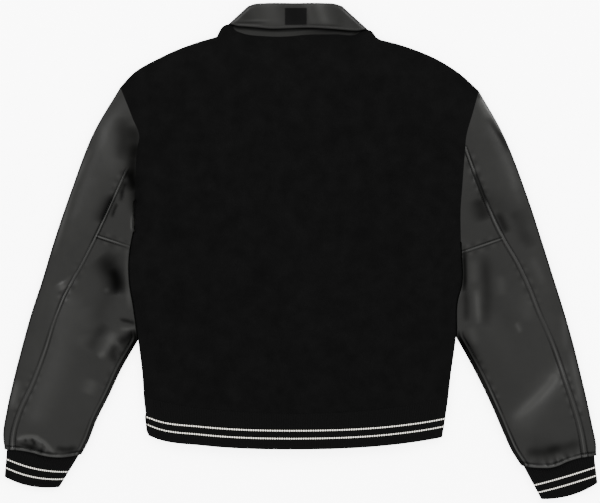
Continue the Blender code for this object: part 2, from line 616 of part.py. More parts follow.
def make_cuff(side):
    """A tube of rib knit: ribbed on top, plain where it rests, its mouth sagging outwards in the middle."""
    section = SLEEVES[side][-1]
    a, b = np.array(section[0], float), np.array(section[2], float)
    along = (b - a) / np.linalg.norm(b - a)
    seam = (a + along * CUFF_INSET, b - along * CUFF_INSET)
    mouth = tuple(np.array(p, float) for p in CUFF_MOUTH[side])
    sides = [np.array([seam[k], mouth[k]]) for k in (0, 1)]
    skin = Skin([(sides[0], HAND[side]), (sides[1], -HAND[side])], level(0.0), level(CUFF_THICKNESS),
                lambda xy, far: np.zeros(len(xy)))
    ribbed = np.linspace(RIB_MARGIN, 1 - RIB_MARGIN, 2 * CUFF_RIBS + 1)
    top = np.concatenate([CUFF_ROLL, ribbed, [1 - share for share in CUFF_ROLL[:0:-1]]])
    down = (mouth[0] + mouth[1] - seam[0] - seam[1]) / 2
    down /= np.linalg.norm(down)
    grids = []
    for shares, up in ((top, 1), (np.array(CUFF_UNDER), -1)):
        rows = []
        for t in CUFF_ROWS:
            start, end = seam[0] + t * (mouth[0] - seam[0]), seam[1] + t * (mouth[1] - seam[1])
            sag = CUFF_SAG * t * 4 * shares * (1 - shares)
            rows.append(between(start, end, shares) + sag[:, None] * down[None])
        grids.append((np.array(rows), up))
    outer, inner = dressed(skin, grids, KNIT)
    raise_ribs(outer, len(CUFF_ROLL), CUFF_RIBS)
    return wall_of(f"cuff_{side}", outer, inner, KNIT_MATERIAL, [("first", slice(None))], closed=True)


# ---------------------------------------------------------------- the hem rib
HEM_ROLL = np.array([0, 0.0045, 0.0125])     # shares of the hem's width, finer where the knit rolls
HEM_MARGIN, HEM_UNDER_MARGIN = 0.025, 0.04   # where the ribs begin on top, and the even columns underneath
HEM_UNDER_COLUMNS = 12


def make_hem_rib():
    """A band round the hem, from the left front's edge, round both sides, to the right front's edge."""
    left_end, right_end = rib_seam_share(PLACKET), rib_seam_share(-PLACKET)
    ribbed = np.linspace(HEM_MARGIN, 1 - HEM_MARGIN, 2 * HEM_RIBS + 1)
    under_left = np.linspace(left_end, HEM_UNDER_MARGIN, HEM_UNDER_COLUMNS)
    under_right = np.linspace(1 - HEM_UNDER_MARGIN, right_end, HEM_UNDER_COLUMNS)
    runs = [
        (np.concatenate([under_left, HEM_ROLL[:0:-1]]), BODY, -1),
        (np.concatenate([HEM_ROLL, ribbed, 1 - HEM_ROLL[::-1]]), BODY, 1),
        (np.concatenate([1 - HEM_ROLL[1:], under_right]), LAPPED, -1),
    ]
    outers, inners = [], []
    for shares, skin, up in runs:
        plan = np.array([SEAM_LINE.at(shares), HEM_LINE.at(shares)])
        outer, inner = dressed(skin, [(plan, up)], KNIT)
        if up > 0:
            raise_ribs(outer, len(HEM_ROLL), HEM_RIBS)
        outers.append(outer)
        inners.append(inner)
    outer, inner = np.concatenate(outers, axis=1), np.concatenate(inners, axis=1)
    return wall_of("hem_rib", outer, inner, KNIT_MATERIAL, [("first", slice(None))])


# ---------------------------------------------------------------- the collar
def ring(skin, lower, upper, rows, lapped=None):
    """A band round the neck: under on the left front, up round the side, over the back, and down again."""
    runs = []
    fronts = np.array(NECK_FRONT_SHARES)
    parts = (("left", fronts[::-1], -1, skin), ("back", np.array(NECK_BACK_SHARES), 1, skin),
             ("right", fronts, -1, lapped or skin))
    for name, shares, side, cloth in parts:
        low, high = lower[name].at(shares), upper[name].at(shares)
        plan = np.array([low + t * (high - low) for t in rows])
        if name == "left":
            plan = plan[:, :-1]
        if name == "right":
            plan = plan[:, 1:]
        runs.append((plan, side, cloth))
    return runs


def dress_ring(name, runs, wall, material, seams=()):
    outers, inners = [], []
    for plan, side, skin in runs:
        outer, inner = dressed(skin, [(plan, side)], wall)
        outers.append(outer)
        inners.append(inner)
    outer, inner = np.concatenate(outers, axis=1), np.concatenate(inners, axis=1)
    return wall_of(name, outer, inner, material, seams)


def make_stand():
    upper = {"back": Line(STAND_FOLD_BACK), **{s: Line(STAND_FOLD_FRONT[s]) for s in ("left", "right")}}
    lower = {side: Stepped(NECK_FRONT[side], [(0, STAND_CORNER[side])]) for side in ("left", "right")}
    lower["back"] = Stepped(NECK, [(0, STAND_CORNER["left"]), (1, STAND_CORNER["right"])])
    ends = lower["back"].at([0, 1])
    edges = [(np.array([ends[k], STAND_FOLD_BACK[k]]), hand) for k, hand in ((0, -1), (-1, 1))]
    skin = Skin(edges, level(LEAF_LIFT), level(LEAF_LIFT + EDGE_THICKNESS), lambda xy, far: np.zeros(len(xy)))
    lapped = raised(skin, lambda xy: lap(xy[:, 0]) * smoothstep(STAND_LAP_START, STAND_LAP_FULL, xy[:, 1]))
    runs = ring(skin, lower, upper, STAND_ROWS, lapped)
    return dress_ring("collar_stand", runs, LEATHER, LEATHER_MATERIAL, [("first", slice(None))])


def leaf_skin():
    edge = chain(Line(LEAF_SIDE_LEFT).dense, Line(LEAF_FOLD_BACK).dense, Line(LEAF_SIDE_RIGHT).dense[::-1])
    return Skin([(edge, -1)], level(0.0), level(LEAF_TOP), lambda xy, far: np.zeros(len(xy)))


def make_leaf():
    """The turned-down leaf: it covers the stand on the back, and its points lie under the fronts."""
    lower = {"back": Line(LEAF_EDGE_BACK), **{s: Line(LEAF_EDGE_FRONT[s]) for s in ("left", "right")}}
    upper = {"back": Line(LEAF_FOLD_BACK), **{s: Line(LEAF_FOLD_FRONT[s]) for s in ("left", "right")}}
    runs = ring(leaf_skin(), lower, upper, LEAF_ROWS)
    return dress_ring("collar_leaf", runs, LEATHER, LEATHER_MATERIAL)


def make_patch():
    """A plain patch on the leaf, made from the leaf's own skin moved out by the seam gap."""
    columns, rows = (np.linspace(low, high, 4) for low, high in zip(*PATCH_BOX))
    plan = np.array([[(x, y) for x in columns] for y in rows])
    point, normal = leaf_skin().place(plan.reshape(-1, 2), 1)
    lift = (SEAM_GAP + PATCH_THICKNESS) * normal, SEAM_GAP * normal
    outer, inner = ((point + k).reshape(*plan.shape[:2], 3) for k in lift)
    return wall_of("collar_patch", outer, inner, KNIT_MATERIAL)


# ---------------------------------------------------------------- the snaps
def snap_places():
    for k in range(SNAPS):
        y = SNAP_TOP_Y - k * SNAP_PITCH
        yield k + 1, y, float(neck_lift(np.array([[0.0, y]]))[0])


def disc(name, radius, low, high, y):
    """A round disc on the centre line, between two heights."""
    bm = bmesh.new()
    bmesh.ops.create_cone(bm, cap_ends=True, segments=SNAP_SIDES, radius1=radius * MM, radius2=radius * MM,
                          depth=(high - low) * MM)
    bmesh.ops.translate(bm, vec=(0, y * MM, (low + high) / 2 * MM), verts=bm.verts)
    mesh = bpy.data.meshes.new(name)
    bm.to_mesh(mesh)
    bm.free()
    piece = bpy.data.objects.new(name, mesh)
    bpy.context.scene.collection.objects.link(piece)
    return piece


def make_snaps(front):
    """Caps that lie flush in shallow seats in the left front, on its outside."""
    for number, y, floor in snap_places():
        top = floor + SNAP_DEPTH
        seat = disc(f"seat_{number}", SNAP_RADIUS + SEAM_GAP, floor - SNAP_DEPTH, top + SEAM_GAP, y)
        seat.hide_render = True
        seat.display_type = "WIRE"
        cut = front.modifiers.new(f"seat_{number}", "BOOLEAN")
        cut.operation = "DIFFERENCE"
        cut.object = seat
        cap = disc(f"snap_{number}", SNAP_RADIUS, floor, top, y)
        cap.data.materials.append(new_material(SNAP_MATERIAL))


def main():
    for old in list(bpy.data.objects):
        bpy.data.objects.remove(old)
    make_back()
    front = make_front("left")
    make_front("right")
    for side in ("left", "right"):
        make_sleeve(side)
        make_cuff(side)
    make_hem_rib()
    make_stand()
    make_leaf()
    make_patch()
    make_snaps(front)


main()
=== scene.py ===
# %% [markdown]
# # A varsity jacket laid flat with its back up
#
# A varsity jacket is sewn from three cloths: thick felted wool for the body, soft leather for the sleeves
# and the collar, and rib knit for the hem and the cuffs. This one lies on its front, so the back panel and
# the backs of the sleeves face up. The solids in the frame already have its shape and size, and this script
# dresses them. Each cell makes one thing. Lengths are millimetres until a vertex is placed, because cloth
# is cut in them.

import math

import bmesh
import bpy
import numpy as np
from mathutils import Matrix, Vector


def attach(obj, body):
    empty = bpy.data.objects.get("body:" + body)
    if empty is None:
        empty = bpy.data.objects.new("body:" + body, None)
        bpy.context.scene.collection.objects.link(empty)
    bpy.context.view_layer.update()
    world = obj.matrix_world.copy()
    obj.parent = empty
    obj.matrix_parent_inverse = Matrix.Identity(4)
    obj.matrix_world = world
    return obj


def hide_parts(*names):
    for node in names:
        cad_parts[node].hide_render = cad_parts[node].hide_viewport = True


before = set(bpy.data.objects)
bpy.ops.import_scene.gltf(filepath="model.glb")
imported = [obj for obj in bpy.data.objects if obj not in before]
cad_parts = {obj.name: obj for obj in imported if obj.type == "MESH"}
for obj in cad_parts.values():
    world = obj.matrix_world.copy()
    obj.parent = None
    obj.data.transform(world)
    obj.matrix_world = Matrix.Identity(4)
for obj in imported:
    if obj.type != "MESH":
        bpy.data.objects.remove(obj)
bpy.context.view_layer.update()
MM = 0.001
print("the frame has", len(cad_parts), "nodes")

# %% [markdown]
# ## Smooth lines
#
# A tailor's curve runs smoothly through a few marks. A class is handy here: it joins the marks with cubic
# steps, whose slope at each mark is the mean of the runs on both sides. It then answers where a share of
# its length is, which spline curves in Blender would only tell after they are made into a mesh.

# %% A smooth line through marks
def run_lengths(points):
    """How far along a line of points each point is."""
    return np.concatenate([[0], np.cumsum(np.linalg.norm(np.diff(points, axis=0), axis=1))])


def places_at(points, along, where):
    """Places on a line of points, when each point's own place along it is known."""
    return np.stack([np.interp(where, along, points[:, k]) for k in (0, 1)], axis=-1)


class Line:
    STEPS = 12      # points of the curve from one mark to the next

    def __init__(self, marks):
        p = np.array(marks, float)
        h = np.linalg.norm(np.diff(p, axis=0), axis=1)[:, None]
        slope = np.diff(p, axis=0) / h
        inner = (slope[:-1] * h[1:] + slope[1:] * h[:-1]) / (h[1:] + h[:-1])
        m = np.vstack([slope[:1], inner, slope[-1:]])
        t = np.linspace(0, 1, self.STEPS + 1)[1:, None]
        runs = [p[:1]]
        for i in range(len(h)):
            runs.append((2 * t**3 - 3 * t**2 + 1) * p[i] + (t**3 - 2 * t**2 + t) * h[i] * m[i]
                        + (3 * t**2 - 2 * t**3) * p[i + 1] + (t**3 - t**2) * h[i] * m[i + 1])
        self.dense = np.vstack(runs)
        self.along = run_lengths(self.dense)
        self.length = self.along[-1]

    def at(self, shares):
        """Places at shares of the line's length."""
        return places_at(self.dense, self.along, np.asarray(shares, float) * self.length)

    def knots(self, places):
        """Places counted in marks: 2 is the third mark and 2.5 lies half way to the next."""
        return places_at(self.dense, np.arange(len(self.dense)), np.asarray(places, float) * self.STEPS)

    def share_of(self, point):
        return self.along[np.linalg.norm(self.dense - point, axis=1).argmin()] / self.length

    def share_at_x(self, x):
        return self.along[np.abs(self.dense[:, 0] - x).argmin()] / self.length

    def x_at(self, y):
        order = self.dense[:, 1].argsort()
        return np.interp(y, self.dense[order, 1], self.dense[order, 0])


print("a curve over three marks is", round(Line([(0, 0), (50, 20), (100, 0)]).length), "mm long")

# %% [markdown]
# ## Grids between lines
#
# Cloth is laid on a grid of places in plan. The helpers here blend softly from one value to another, find
# how far a place is from a line, space a grid's columns, and fill a patch between four border lines.

# %% Helpers for numbers
def smooth(low, high, value):
    """From 0 at low to 1 at high, with level ends."""
    t = np.clip((value - low) / (high - low), 0, 1)
    return t * t * (3 - 2 * t)


def near(points, line, chunk=6000):
    """How far each point is from a line, the nearest place on it, and that place's share of the line."""
    a, ab = line[:-1], np.diff(line, axis=0)
    square = (ab * ab).sum(-1)
    run = run_lengths(line)
    parts = []
    for start in range(0, len(points), chunk):
        p = points[start : start + chunk]
        rel = p[:, None, :] - a[None]
        t = np.clip((rel * ab).sum(-1) / square, 0, 1)
        away = rel - t[..., None] * ab[None]
        far = (away * away).sum(-1)
        best = far.argmin(axis=1)
        rows = np.arange(len(p))
        here = t[rows, best]
        parts.append((np.sqrt(far[rows, best]), a[best] + here[:, None] * ab[best],
                      (run[best] + here * np.sqrt(square[best])) / run[-1]))
    return tuple(np.concatenate(column) for column in zip(*parts))


def chain(*runs):
    """One line out of several, without the points where they meet."""
    return np.vstack([runs[0]] + [run[1:] if np.allclose(run[0], before[-1]) else run
                                  for before, run in zip(runs, runs[1:])])


def run_shares(points):
    run = run_lengths(points)
    return run / run[-1]


def resample(points, shares):
    return places_at(points, run_shares(points), shares)


def marks(length, step, start=(), end=()):
    """Shares of a length: set distances from the ends, where cloth rolls or is sewn, then even steps."""
    a, b = [0, *start], [length - far for far in (*end[::-1], 0)]
    count = max(1, round((b[0] - a[-1]) / step))
    return np.concatenate([a, np.linspace(a[-1], b[0], count + 1)[1:-1], b]) / length


def coons(first, last, left, right):
    """Plan points of a patch between its first and last rows and its left and right columns."""
    s = (run_shares(first) + run_shares(last))[None, :, None] / 2
    t = (run_shares(left) + run_shares(right))[:, None, None] / 2
    near_corners = (1 - t) * ((1 - s) * first[0] + s * first[-1])
    far_corners = t * ((1 - s) * last[0] + s * last[-1])
    rows, columns = (1 - t) * first[None] + t * last[None], (1 - s) * left[:, None] + s * right[:, None]
    return rows + columns - near_corners - far_corners


def between(a, b, shares):
    """Places on the straight way from a to b."""
    return a[None] + np.asarray(shares, float)[:, None] * (b - a)[None]


print("marks on 20 mm, rolled at one end:", (20 * marks(20, 4, start=(0.5, 1.5))).round(1).tolist())

# %% [markdown]
# ## The cut of the jacket
#
# These marks are the outline of the laid jacket and its seams, close to those of the solids: a mark moved
# by a few millimetres here draws an edge more finely. The origin is the middle of the jacket, with the
# collar towards +Y. A sleeve is a table with a row for each section from the armhole to the cuff, and three
# columns: the outer edge, the back seam and the inner edge.

# %% Outlines and seams
WOOL, LEATHER, KNIT = 3.0, 2.5, 2.6                # thickness of each cloth
EDGE_THICKNESS, CUFF_THICKNESS, LEAF_TOP = 9.0, 7.6, 16.5      # front and back together at an edge, and tops
PILLOW, PILLOW_REACH = 5.0, 30.0                   # how much more away from the edges, and how soon
PLACKET = 15.0                                     # each front reaches this far past the middle
LAP_STEP, LAP_FULL, LAP_END = WOOL + 0.5, 34.0, 64.0      # the lapped front's lift, and where it dies away
SNAP_X, SNAP_STEP = 5.3, 0.3                       # the row of snap caps, and how far they stand proud
LEAF_LIFT, LIFT_CENTRE, LIFT_FULL, LIFT_END = 2.8, (-2.0, 345.0), 150.0, 186.0      # cloth lies on the collar
HEM_RIBS, CUFF_RIBS = 120, 27
HAND = {"left": 1, "right": -1}                    # the sign of the way from a side to the middle



def by_side(table):
    return {side: Line(points) for side, points in table.items()}


SHOULDER = by_side({
    "left": [(-293, 267), (-273, 288.5), (-229, 314.5), (-201, 327.5), (-163, 341), (-147, 345.5),
             (-135, 349.5), (-131.5, 358), (-126, 365.5), (-118, 369), (-110.5, 368.6)],
    "right": [(290.5, 261), (260, 288.5), (218, 314.5), (187, 327.5), (158, 337), (138, 342), (125, 346),
              (120.5, 352.5), (116, 358), (109, 360.5), (101.5, 360)]})
SIDE = by_side({
    "left": [(-271, 30), (-275.5, 10), (-276, -64), (-273, -80), (-266, -129), (-263, -153), (-256.5, -210),
             (-255, -238)],
    "right": [(261, 13), (262, -5), (262, -56), (255.5, -80), (253.5, -137), (244, -210), (241, -238)]})
RIB_SIDE = by_side({
    "left": [(-255, -238), (-252, -262), (-248.5, -282), (-247.5, -300)],
    "right": [(241, -238), (239, -259), (235.5, -282), (231, -303)]})
ARMHOLE = by_side({
    "left": [(-293, 267), (-273, 217), (-261.5, 184), (-264.5, 169.5), (-268, 116), (-270.5, 55), (-271, 30)],
    "right": [(290.5, 261), (281, 227), (269, 182.5), (267.8, 168), (262.5, 98), (260.5, 72), (261, 13)]})
RIB_SEAM = Line([(-255, -238), (-190, -252), (-100, -261), (0, -264), (100, -260), (185, -249), (241, -238)])
HEM = Line([(-247.5, -300), (-232, -306), (-160, -316), (0, -322.5), (150, -315), (215, -306), (231, -303)])
NECK = Line([(-110.5, 368.6), (-107, 360), (-93, 353.5), (-59, 349), (-14, 349), (5, 351), (57, 352),
             (94, 353.5), (101.5, 360)])
NECK_FRONT = by_side({
    "left": [(-110.5, 368.6), (-103, 335), (-78, 298), (-42, 275), (-1, 268)],
    "right": [(101.5, 360), (95, 328), (74, 298), (40, 275), (1, 268)]})
SLEEVE_SECTIONS = {
    "left": [
        # outer edge, back seam, inner edge
        ((-293, 267), (-264.5, 169.5), (-271, 30)),
        ((-334.5, 197), (-292.5, 109), (-275, 18)),
        ((-374, 96), (-331.5, 24.5), (-277, 6)),
        ((-401.5, 15), (-356, -24.5), (-276, -47)),
        ((-422.5, -54), (-381, -68.5), (-269, -109)),
        ((-437.5, -99.5), (-398, -110), (-264, -145)),
        ((-453.5, -156.5), (-415.5, -164.5), (-290.5, -191)),
        ((-468, -213.5), (-436, -218.5), (-312, -236.5)),
        ((-478, -259), (-456, -261.5), (-331.5, -275.5)),
        ((-484, -303), (-467.5, -305), (-345, -310)),
        ((-481.5, -322.7), (-468.3, -323.6), (-356, -331))],
    "right": [
        ((290.5, 261), (267.8, 168), (261, 13)),
        ((327, 197), (289.5, 109), (262.5, 5)),
        ((369.5, 90), (329, 20.5), (263, -3)),
        ((394, 15), (351.5, -18), (263, -56)),
        ((413.5, -47), (373, -63.5), (256.5, -109)),
        ((426.5, -88), (387.5, -100), (254.5, -142)),
        ((443, -145), (410.5, -152.5), (278, -184)),
        ((456.5, -199), (428, -203.5), (298, -223)),
        ((467.5, -246), (443, -248), (314, -257.5)),
        ((476.5, -288.5), (455, -290), (330.5, -296)),
        ((481.5, -313), (460, -317), (343.5, -324.5)),
        ((482, -332.5), (462.5, -335.1), (359, -348.8))]}
PIECING_ROW, PARTING_ROW = 2, 5                    # sections at the piecing seam and where the body is left
SIDE_PRESS, PRESS_EASE = 0.3, 20.0                 # soft edges that lie side by side press into each other
INNER_SEAM = {"left": 7.0, "right": 8.0}           # the inner seam is this far from the inner edge
CUFF_INSET, CUFF_SAG = 3.5, 7.5                    # the knit is narrower than the leather, and bows down
STRIPE_RISE = {"left": 0.5, "right": 6.0}          # how much less than the mouth the stripes sag
CUFF_MOUTH = {"left": ((-481.5, -367), (-392, -384)), "right": ((484, -377), (392, -403.8))}

OUTER, BACK_SEAM = (by_side({side: [row[k] for row in rows] for side, rows in SLEEVE_SECTIONS.items()})
                    for k in (0, 1))
CUFF_SEAM = {side: np.array([rows[-1][0], rows[-1][2]], float) for side, rows in SLEEVE_SECTIONS.items()}


def inner_edge(side):
    """The sleeve's inner edge: it is pressed to the body's side down to a corner, where the two part."""
    marks_down = [row[2] for row in SLEEVE_SECTIONS[side]]
    line = Line(marks_down)
    corner = PARTING_ROW * Line.STEPS
    y = line.dense[:corner, 1]
    pressed = HAND[side] * SIDE_PRESS * smooth(0, PRESS_EASE, y[0] - y)
    line.dense[:corner, 0] = SIDE[side].x_at(y) + pressed
    line.dense[corner:] = Line(marks_down[PARTING_ROW:]).dense
    return line


INNER = {side: inner_edge(side) for side in HAND}
print("back seam of a sleeve:", round(BACK_SEAM["left"].length), "mm")
print("rib seam across the back:", round(RIB_SEAM.length), "mm")

# %% [markdown]
# ## Folds and creases
#
# Cloth that lies has soft troughs and ridges, and no two are alike. Simulation would need the whole jacket
# to be sewn and dropped, and would not put a fold where it is wanted. So each fold is a line with a half
# width and a height, and the height dies away across it as a bell curve. Large folds are those of the
# solids. Creases are finer, they fade out towards their ends, and they gather where an arm bends and where
# leather meets knit.

# %% Folds of the body and the sleeves
FOLDS = [
    # line, half width, height
    ([(-203, 160), (-206, 40), (-196, -80), (-152, -176)], 22, -2.6),
    ([(-236, 120), (-243, 0), (-232, -110)], 20, 2.6),
    ([(-62, 50), (-57, -80), (-33, -162), (-14, -240)], 20, -2.4),
    ([(-20, 60), (-8, -70), (20, -160)], 20, 2.2),
    ([(20, 42), (40, -110), (62, -194), (98, -245)], 20, -2.4),
    ([(122, 132), (154, 0), (163, -96)], 22, -2.4),
    ([(215, 150), (222, 20), (206, -110)], 20, 2.6),
    ([(90, 246), (140, 205), (196, 164)], 22, -1.8),
    ([(-74, -145), (-40, -215), (-25, -258)], 16, 2.0),
    ([(150, -215), (165, -240)], 16, 1.8),
    ([(-305, 205), (-325, 130), (-352, 60)], 22, 1.3),
    ([(-300, -12), (-306, -60), (-330, -110)], 18, -3.0),
    ([(-372, -90), (-392, -180), (-420, -260)], 20, 3.4),
    ([(-290, -140), (-325, -150), (-352, -148)], 12, 2.4),
    ([(318, 190), (340, 120), (362, 50)], 22, 1.1),
    ([(298, 82), (330, 66), (362, 56)], 16, -2.4),
    ([(291, -62), (300, -110), (322, -150)], 15, 1.2),
    ([(305, -32), (310, -80), (332, -112)], 14, -1.0),
    ([(415, -202), (385, -240), (359, -275)], 18, 3.4),
    ([(383, -313), (411, -318), (440, -312)], 12, -2.0),
]
CREASES = [
    # left sleeve, upper arm
    ([(-288, 218), (-285, 182), (-289, 146)], 13, -1.0),
    ([(-272, 204), (-266, 178), (-270, 150)], 11, -1.3),
    ([(-280, 134), (-276, 116), (-271, 98)], 9, -1.7),
    ([(-322, 214), (-312, 170), (-303, 118)], 12, 0.4),
    ([(-338, 168), (-366, 110), (-388, 37), (-402, -8)], 4, 0.9),
    ([(-266, 174), (-272, 132), (-266, 92), (-266, 60)], 10, -2.2),
    ([(-304, 94), (-314, 70), (-325, 46)], 4.5, -1.6),
    ([(-309, 90), (-320, 67), (-330, 46)], 9, -0.7),
    ([(-284, 112), (-289, 96), (-291, 80)], 4, -1.6),
    ([(-297, 78), (-302, 66), (-306, 54)], 3, -1.5),
    ([(-274, 57), (-274.5, 45), (-274, 31)], 1.7, 1.1),
    ([(-309, -4), (-292, 2), (-277, -4)], 6, 0.3),
    # left elbow: a deep hollow, and the bends that run out of the crotch
    ([(-326, -8), (-311, -28), (-300, -48), (-298, -72)], 15, -1.7),
    ([(-305, -28), (-298, -50), (-297, -72)], 9, -1.4),
    ([(-317, -60), (-313, -68)], 4, 0.8),
    ([(-281, 4), (-281, -50), (-277, -96)], 4, 0.8),
    ([(-294, -112), (-282, -114), (-266, -118)], 3.2, -1.6),
    ([(-292, -128), (-279, -127), (-265, -124)], 2.8, 1.1),
    ([(-264, -130), (-280, -140), (-296, -150)], 7, -2.0),
    ([(-299, -132), (-307, -145), (-318, -162), (-328, -173)], 6, 0.9),
    ([(-316, -166), (-329, -172)], 5, 0.7),
    ([(-300, -152), (-305, -166), (-300, -180)], 7, -1.1),
    ([(-315, -118), (-330, -140), (-344, -160)], 9, -0.7),
    ([(-388, -50), (-382, -62)], 9, 1.3),
    ([(-350, -90), (-340, -130)], 16, 0.35),
    # left forearm
    ([(-460, -208), (-464, -232), (-470, -258)], 8, 0.9),
    ([(-336, -208), (-346, -234)], 10, 0.7),
    ([(-461, -306), (-443, -302), (-424, -303)], 3.4, 2.0),
    ([(-431, -301), (-416, -312), (-400, -330)], 3.6, 1.9),
    ([(-457, -314), (-437, -319), (-414, -327)], 4.2, -1.8),
    ([(-448, -303), (-445, -312)], 1.8, -1.1),
    ([(-437, -303), (-430, -317)], 2.4, -1.6),
    ([(-420, -310), (-415, -320)], 1.8, -1.0),
    ([(-398, -320), (-382, -323), (-362, -320)], 4.5, -1.3),
    # right sleeve, upper arm
    ([(291, 251), (300, 234), (310, 216)], 9, 1.7),
    ([(300, 244), (313, 218), (326, 192)], 4.5, 1.7),
    ([(311, 214), (320, 196), (330, 180), (340, 162)], 5, -1.1),
    ([(328, 158), (342, 130), (350, 96)], 9, 0.4),
    ([(281, 132), (292, 104), (303, 76)], 3.5, -2.0),
    ([(282, 134), (286, 124)], 2.4, 1.0),
    ([(287, 86), (294, 66), (299, 48)], 13, -1.2),
    ([(319, 62), (327, 46), (335, 28)], 6.5, -1.4),
    ([(344, 64), (354, 44), (365, 24), (375, 4)], 12, -0.6),
    ([(376, -10), (386, -34), (394, -56)], 7, 0.4),
    # right elbow: upright pleats beside the body
    ([(264, 4), (265.5, -28), (266, -66)], 5, -3.0),
    ([(268, -60), (270, -88), (270, -116)], 6, -0.9),
    ([(281, -14), (282, -54)], 8, 0.5),
    ([(286, -62), (288, -90), (290, -120)], 4.5, 1.1),
    ([(299, -4), (302, -60), (302, -124)], 9, -0.8),
    ([(324, -38), (327, -74)], 8, 0.5),
    ([(350, -116), (358, -133)], 3.6, 1.0),
    ([(366, -70), (372, -118)], 13, 0.35),
    ([(277, -122), (284, -154)], 7, 0.5),
    # right forearm
    ([(427, -98), (431, -164)], 6, 0.5),
    ([(437, -156), (444, -192), (450, -222), (457, -262)], 6, 0.8),
    ([(420, -196), (402, -220), (374, -249), (346, -274)], 8, 1.1),
    ([(414, -200), (406, -212)], 6, 0.5),
    ([(366, -327), (394, -327), (424, -321)], 8, -1.1),
    ([(400, -323), (430, -319), (456, -312)], 7, -0.6),
    # wool: small pulls over the hem and beside the armholes
    ([(-150, -190), (-132, -222), (-126, -252)], 8, -0.8),
    ([(-118, -182), (-112, -218), (-104, -250)], 7, 0.8),
    ([(-236, 150), (-222, 178), (-196, 204)], 10, -1.0),
    ([(236, 140), (218, 170), (188, 192)], 10, -1.0),
    ([(198, -190), (190, -222), (194, -244)], 7, 0.8),
    ([(60, -176), (74, -214), (96, -244)], 7, 0.8),
    ([(-90, 312), (-40, 296), (30, 300), (84, 310)], 14, 0.8),
]
PUCKERS = {
    # where leather is gathered into a cuff: each pucker's place, as a share of the cuff seam, and its height
    "left": [(0.12, 0.6), (0.19, -0.7), (0.27, 0.9), (0.34, -1.0), (0.41, 1.4), (0.47, -0.9), (0.54, 0.8),
             (0.61, -0.5), (0.72, 0.4), (0.86, -0.4)],
    "right": [(0.16, -0.4), (0.25, 0.5), (0.33, 1.0), (0.37, -0.8), (0.41, 1.1), (0.45, -0.9), (0.50, 1.3),
              (0.55, -0.9), (0.60, 1.2), (0.65, -0.7), (0.70, 0.8), (0.80, -0.4), (0.90, 0.4)]}
PUCKER_LENGTH, PUCKER_WIDTH, PUCKER_LEAN = 12.0, 2.6, 0.25
PUCKER_START, PUCKER_CREST = 4.0, 5.0      # they rise from the seam and are highest this far from it
DROP_REACH = 42.0                          # the leather hangs down over the knit from this far above the seam
CUFF_DROP = {
    # share of the cuff's seam from the outer edge, and how far the leather hangs over the knit there
    "left": [(0, 0), (0.22, 0), (0.36, 2), (0.5, 5.5), (0.62, 7), (0.75, 6.5), (0.88, 3.5), (1, 0)],
    "right": [(0, 0), (0.25, 0.5), (0.41, 4), (0.52, 8), (0.62, 9.5), (0.74, 8), (0.87, 5), (1, 0)]}


def read_folds(table):
    return [(Line(line).dense[::3], half_width, height) for line, half_width, height in table]


FOLD_LINES, CREASE_LINES = read_folds(FOLDS), read_folds(CREASES)


def in_reach(xy, line, reach):
    """Which places are in the box round a line, widened by a reach: only these need the exact distance."""
    low, high = line.min(axis=0) - reach, line.max(axis=0) + reach
    return np.all((xy > low) & (xy < high), axis=1)


def heights(xy, lines, fades):
    """All folds or creases together at places in plan. Creases fade out towards their ends."""
    total = np.zeros(len(xy))
    for line, width, height in lines:
        close = in_reach(xy, line, 3 * width)      # farther out the bell curve is flat
        if close.any():
            far, _, share = near(xy[close], line)
            fade = np.clip(5 * share * (1 - share), 0, 1) ** 0.7 if fades else 1
            total[close] += height * fade * np.exp(-((far / width) ** 2))
    return total


def pucker_height(xy):
    """Short gathers that run up the leather from each cuff's seam."""
    total = np.zeros(len(xy))
    for side, seam in CUFF_EDGE.items():
        close = in_reach(xy, seam, 2 * PUCKER_LENGTH)
        if not close.any():
            continue
        far, _, share = near(xy[close], seam)
        length = np.linalg.norm(seam[-1] - seam[0])
        here = np.zeros(len(far))
        for k, (middle, height) in enumerate(PUCKERS[side]):
            lean = PUCKER_LEAN * math.sin(5.1 * k) * far / length
            across = (share - middle - lean) * length / PUCKER_WIDTH
            reach = PUCKER_LENGTH * (0.75 + 0.35 * math.sin(2.3 * k))
            crest = np.exp(-(((far - PUCKER_CREST) / reach) ** 2)) * smooth(0, PUCKER_START, far)
            here += height * np.exp(-(across**2)) * crest
        total[close] += here
    return total


def cuff_frame(side):
    """Where a cuff's seam starts, its direction and length, and the direction down the cuff."""
    a, b = CUFF_SEAM[side]
    length = np.linalg.norm(b - a)
    along = (b - a) / length
    return a, along, length, HAND[side] * np.array([along[1], -along[0]])


def cuff_drop(side, shares):
    """How far the full leather hangs over the knit, at shares of the cuff's seam."""
    drop = Line([(100 * share, mm) for share, mm in CUFF_DROP[side]]).dense
    return np.interp(100 * np.asarray(shares), drop[:, 0], drop[:, 1])


def cuff_edge(side):
    """The lower edge of the leather at a cuff."""
    a, along, length, down = cuff_frame(side)
    shares = np.linspace(0, 1, 41)
    return a + np.outer(shares * length, along) + np.outer(cuff_drop(side, shares), down)


def overhang(plan, side):
    """Moves the lower end of a sleeve's plan down to the edge that hangs over the knit."""
    a, along, length, down = cuff_frame(side)
    away = plan - a
    drop = cuff_drop(side, np.clip(away @ along / length, 0, 1))
    drop = drop * (1 - smooth(0, DROP_REACH, -(away @ down)))
    return plan + drop[..., None] * down


CUFF_EDGE = {side: cuff_edge(side) for side in HAND}
print(len(FOLDS), "large folds,", len(CREASES), "creases and", sum(map(len, PUCKERS.values())), "puckers")

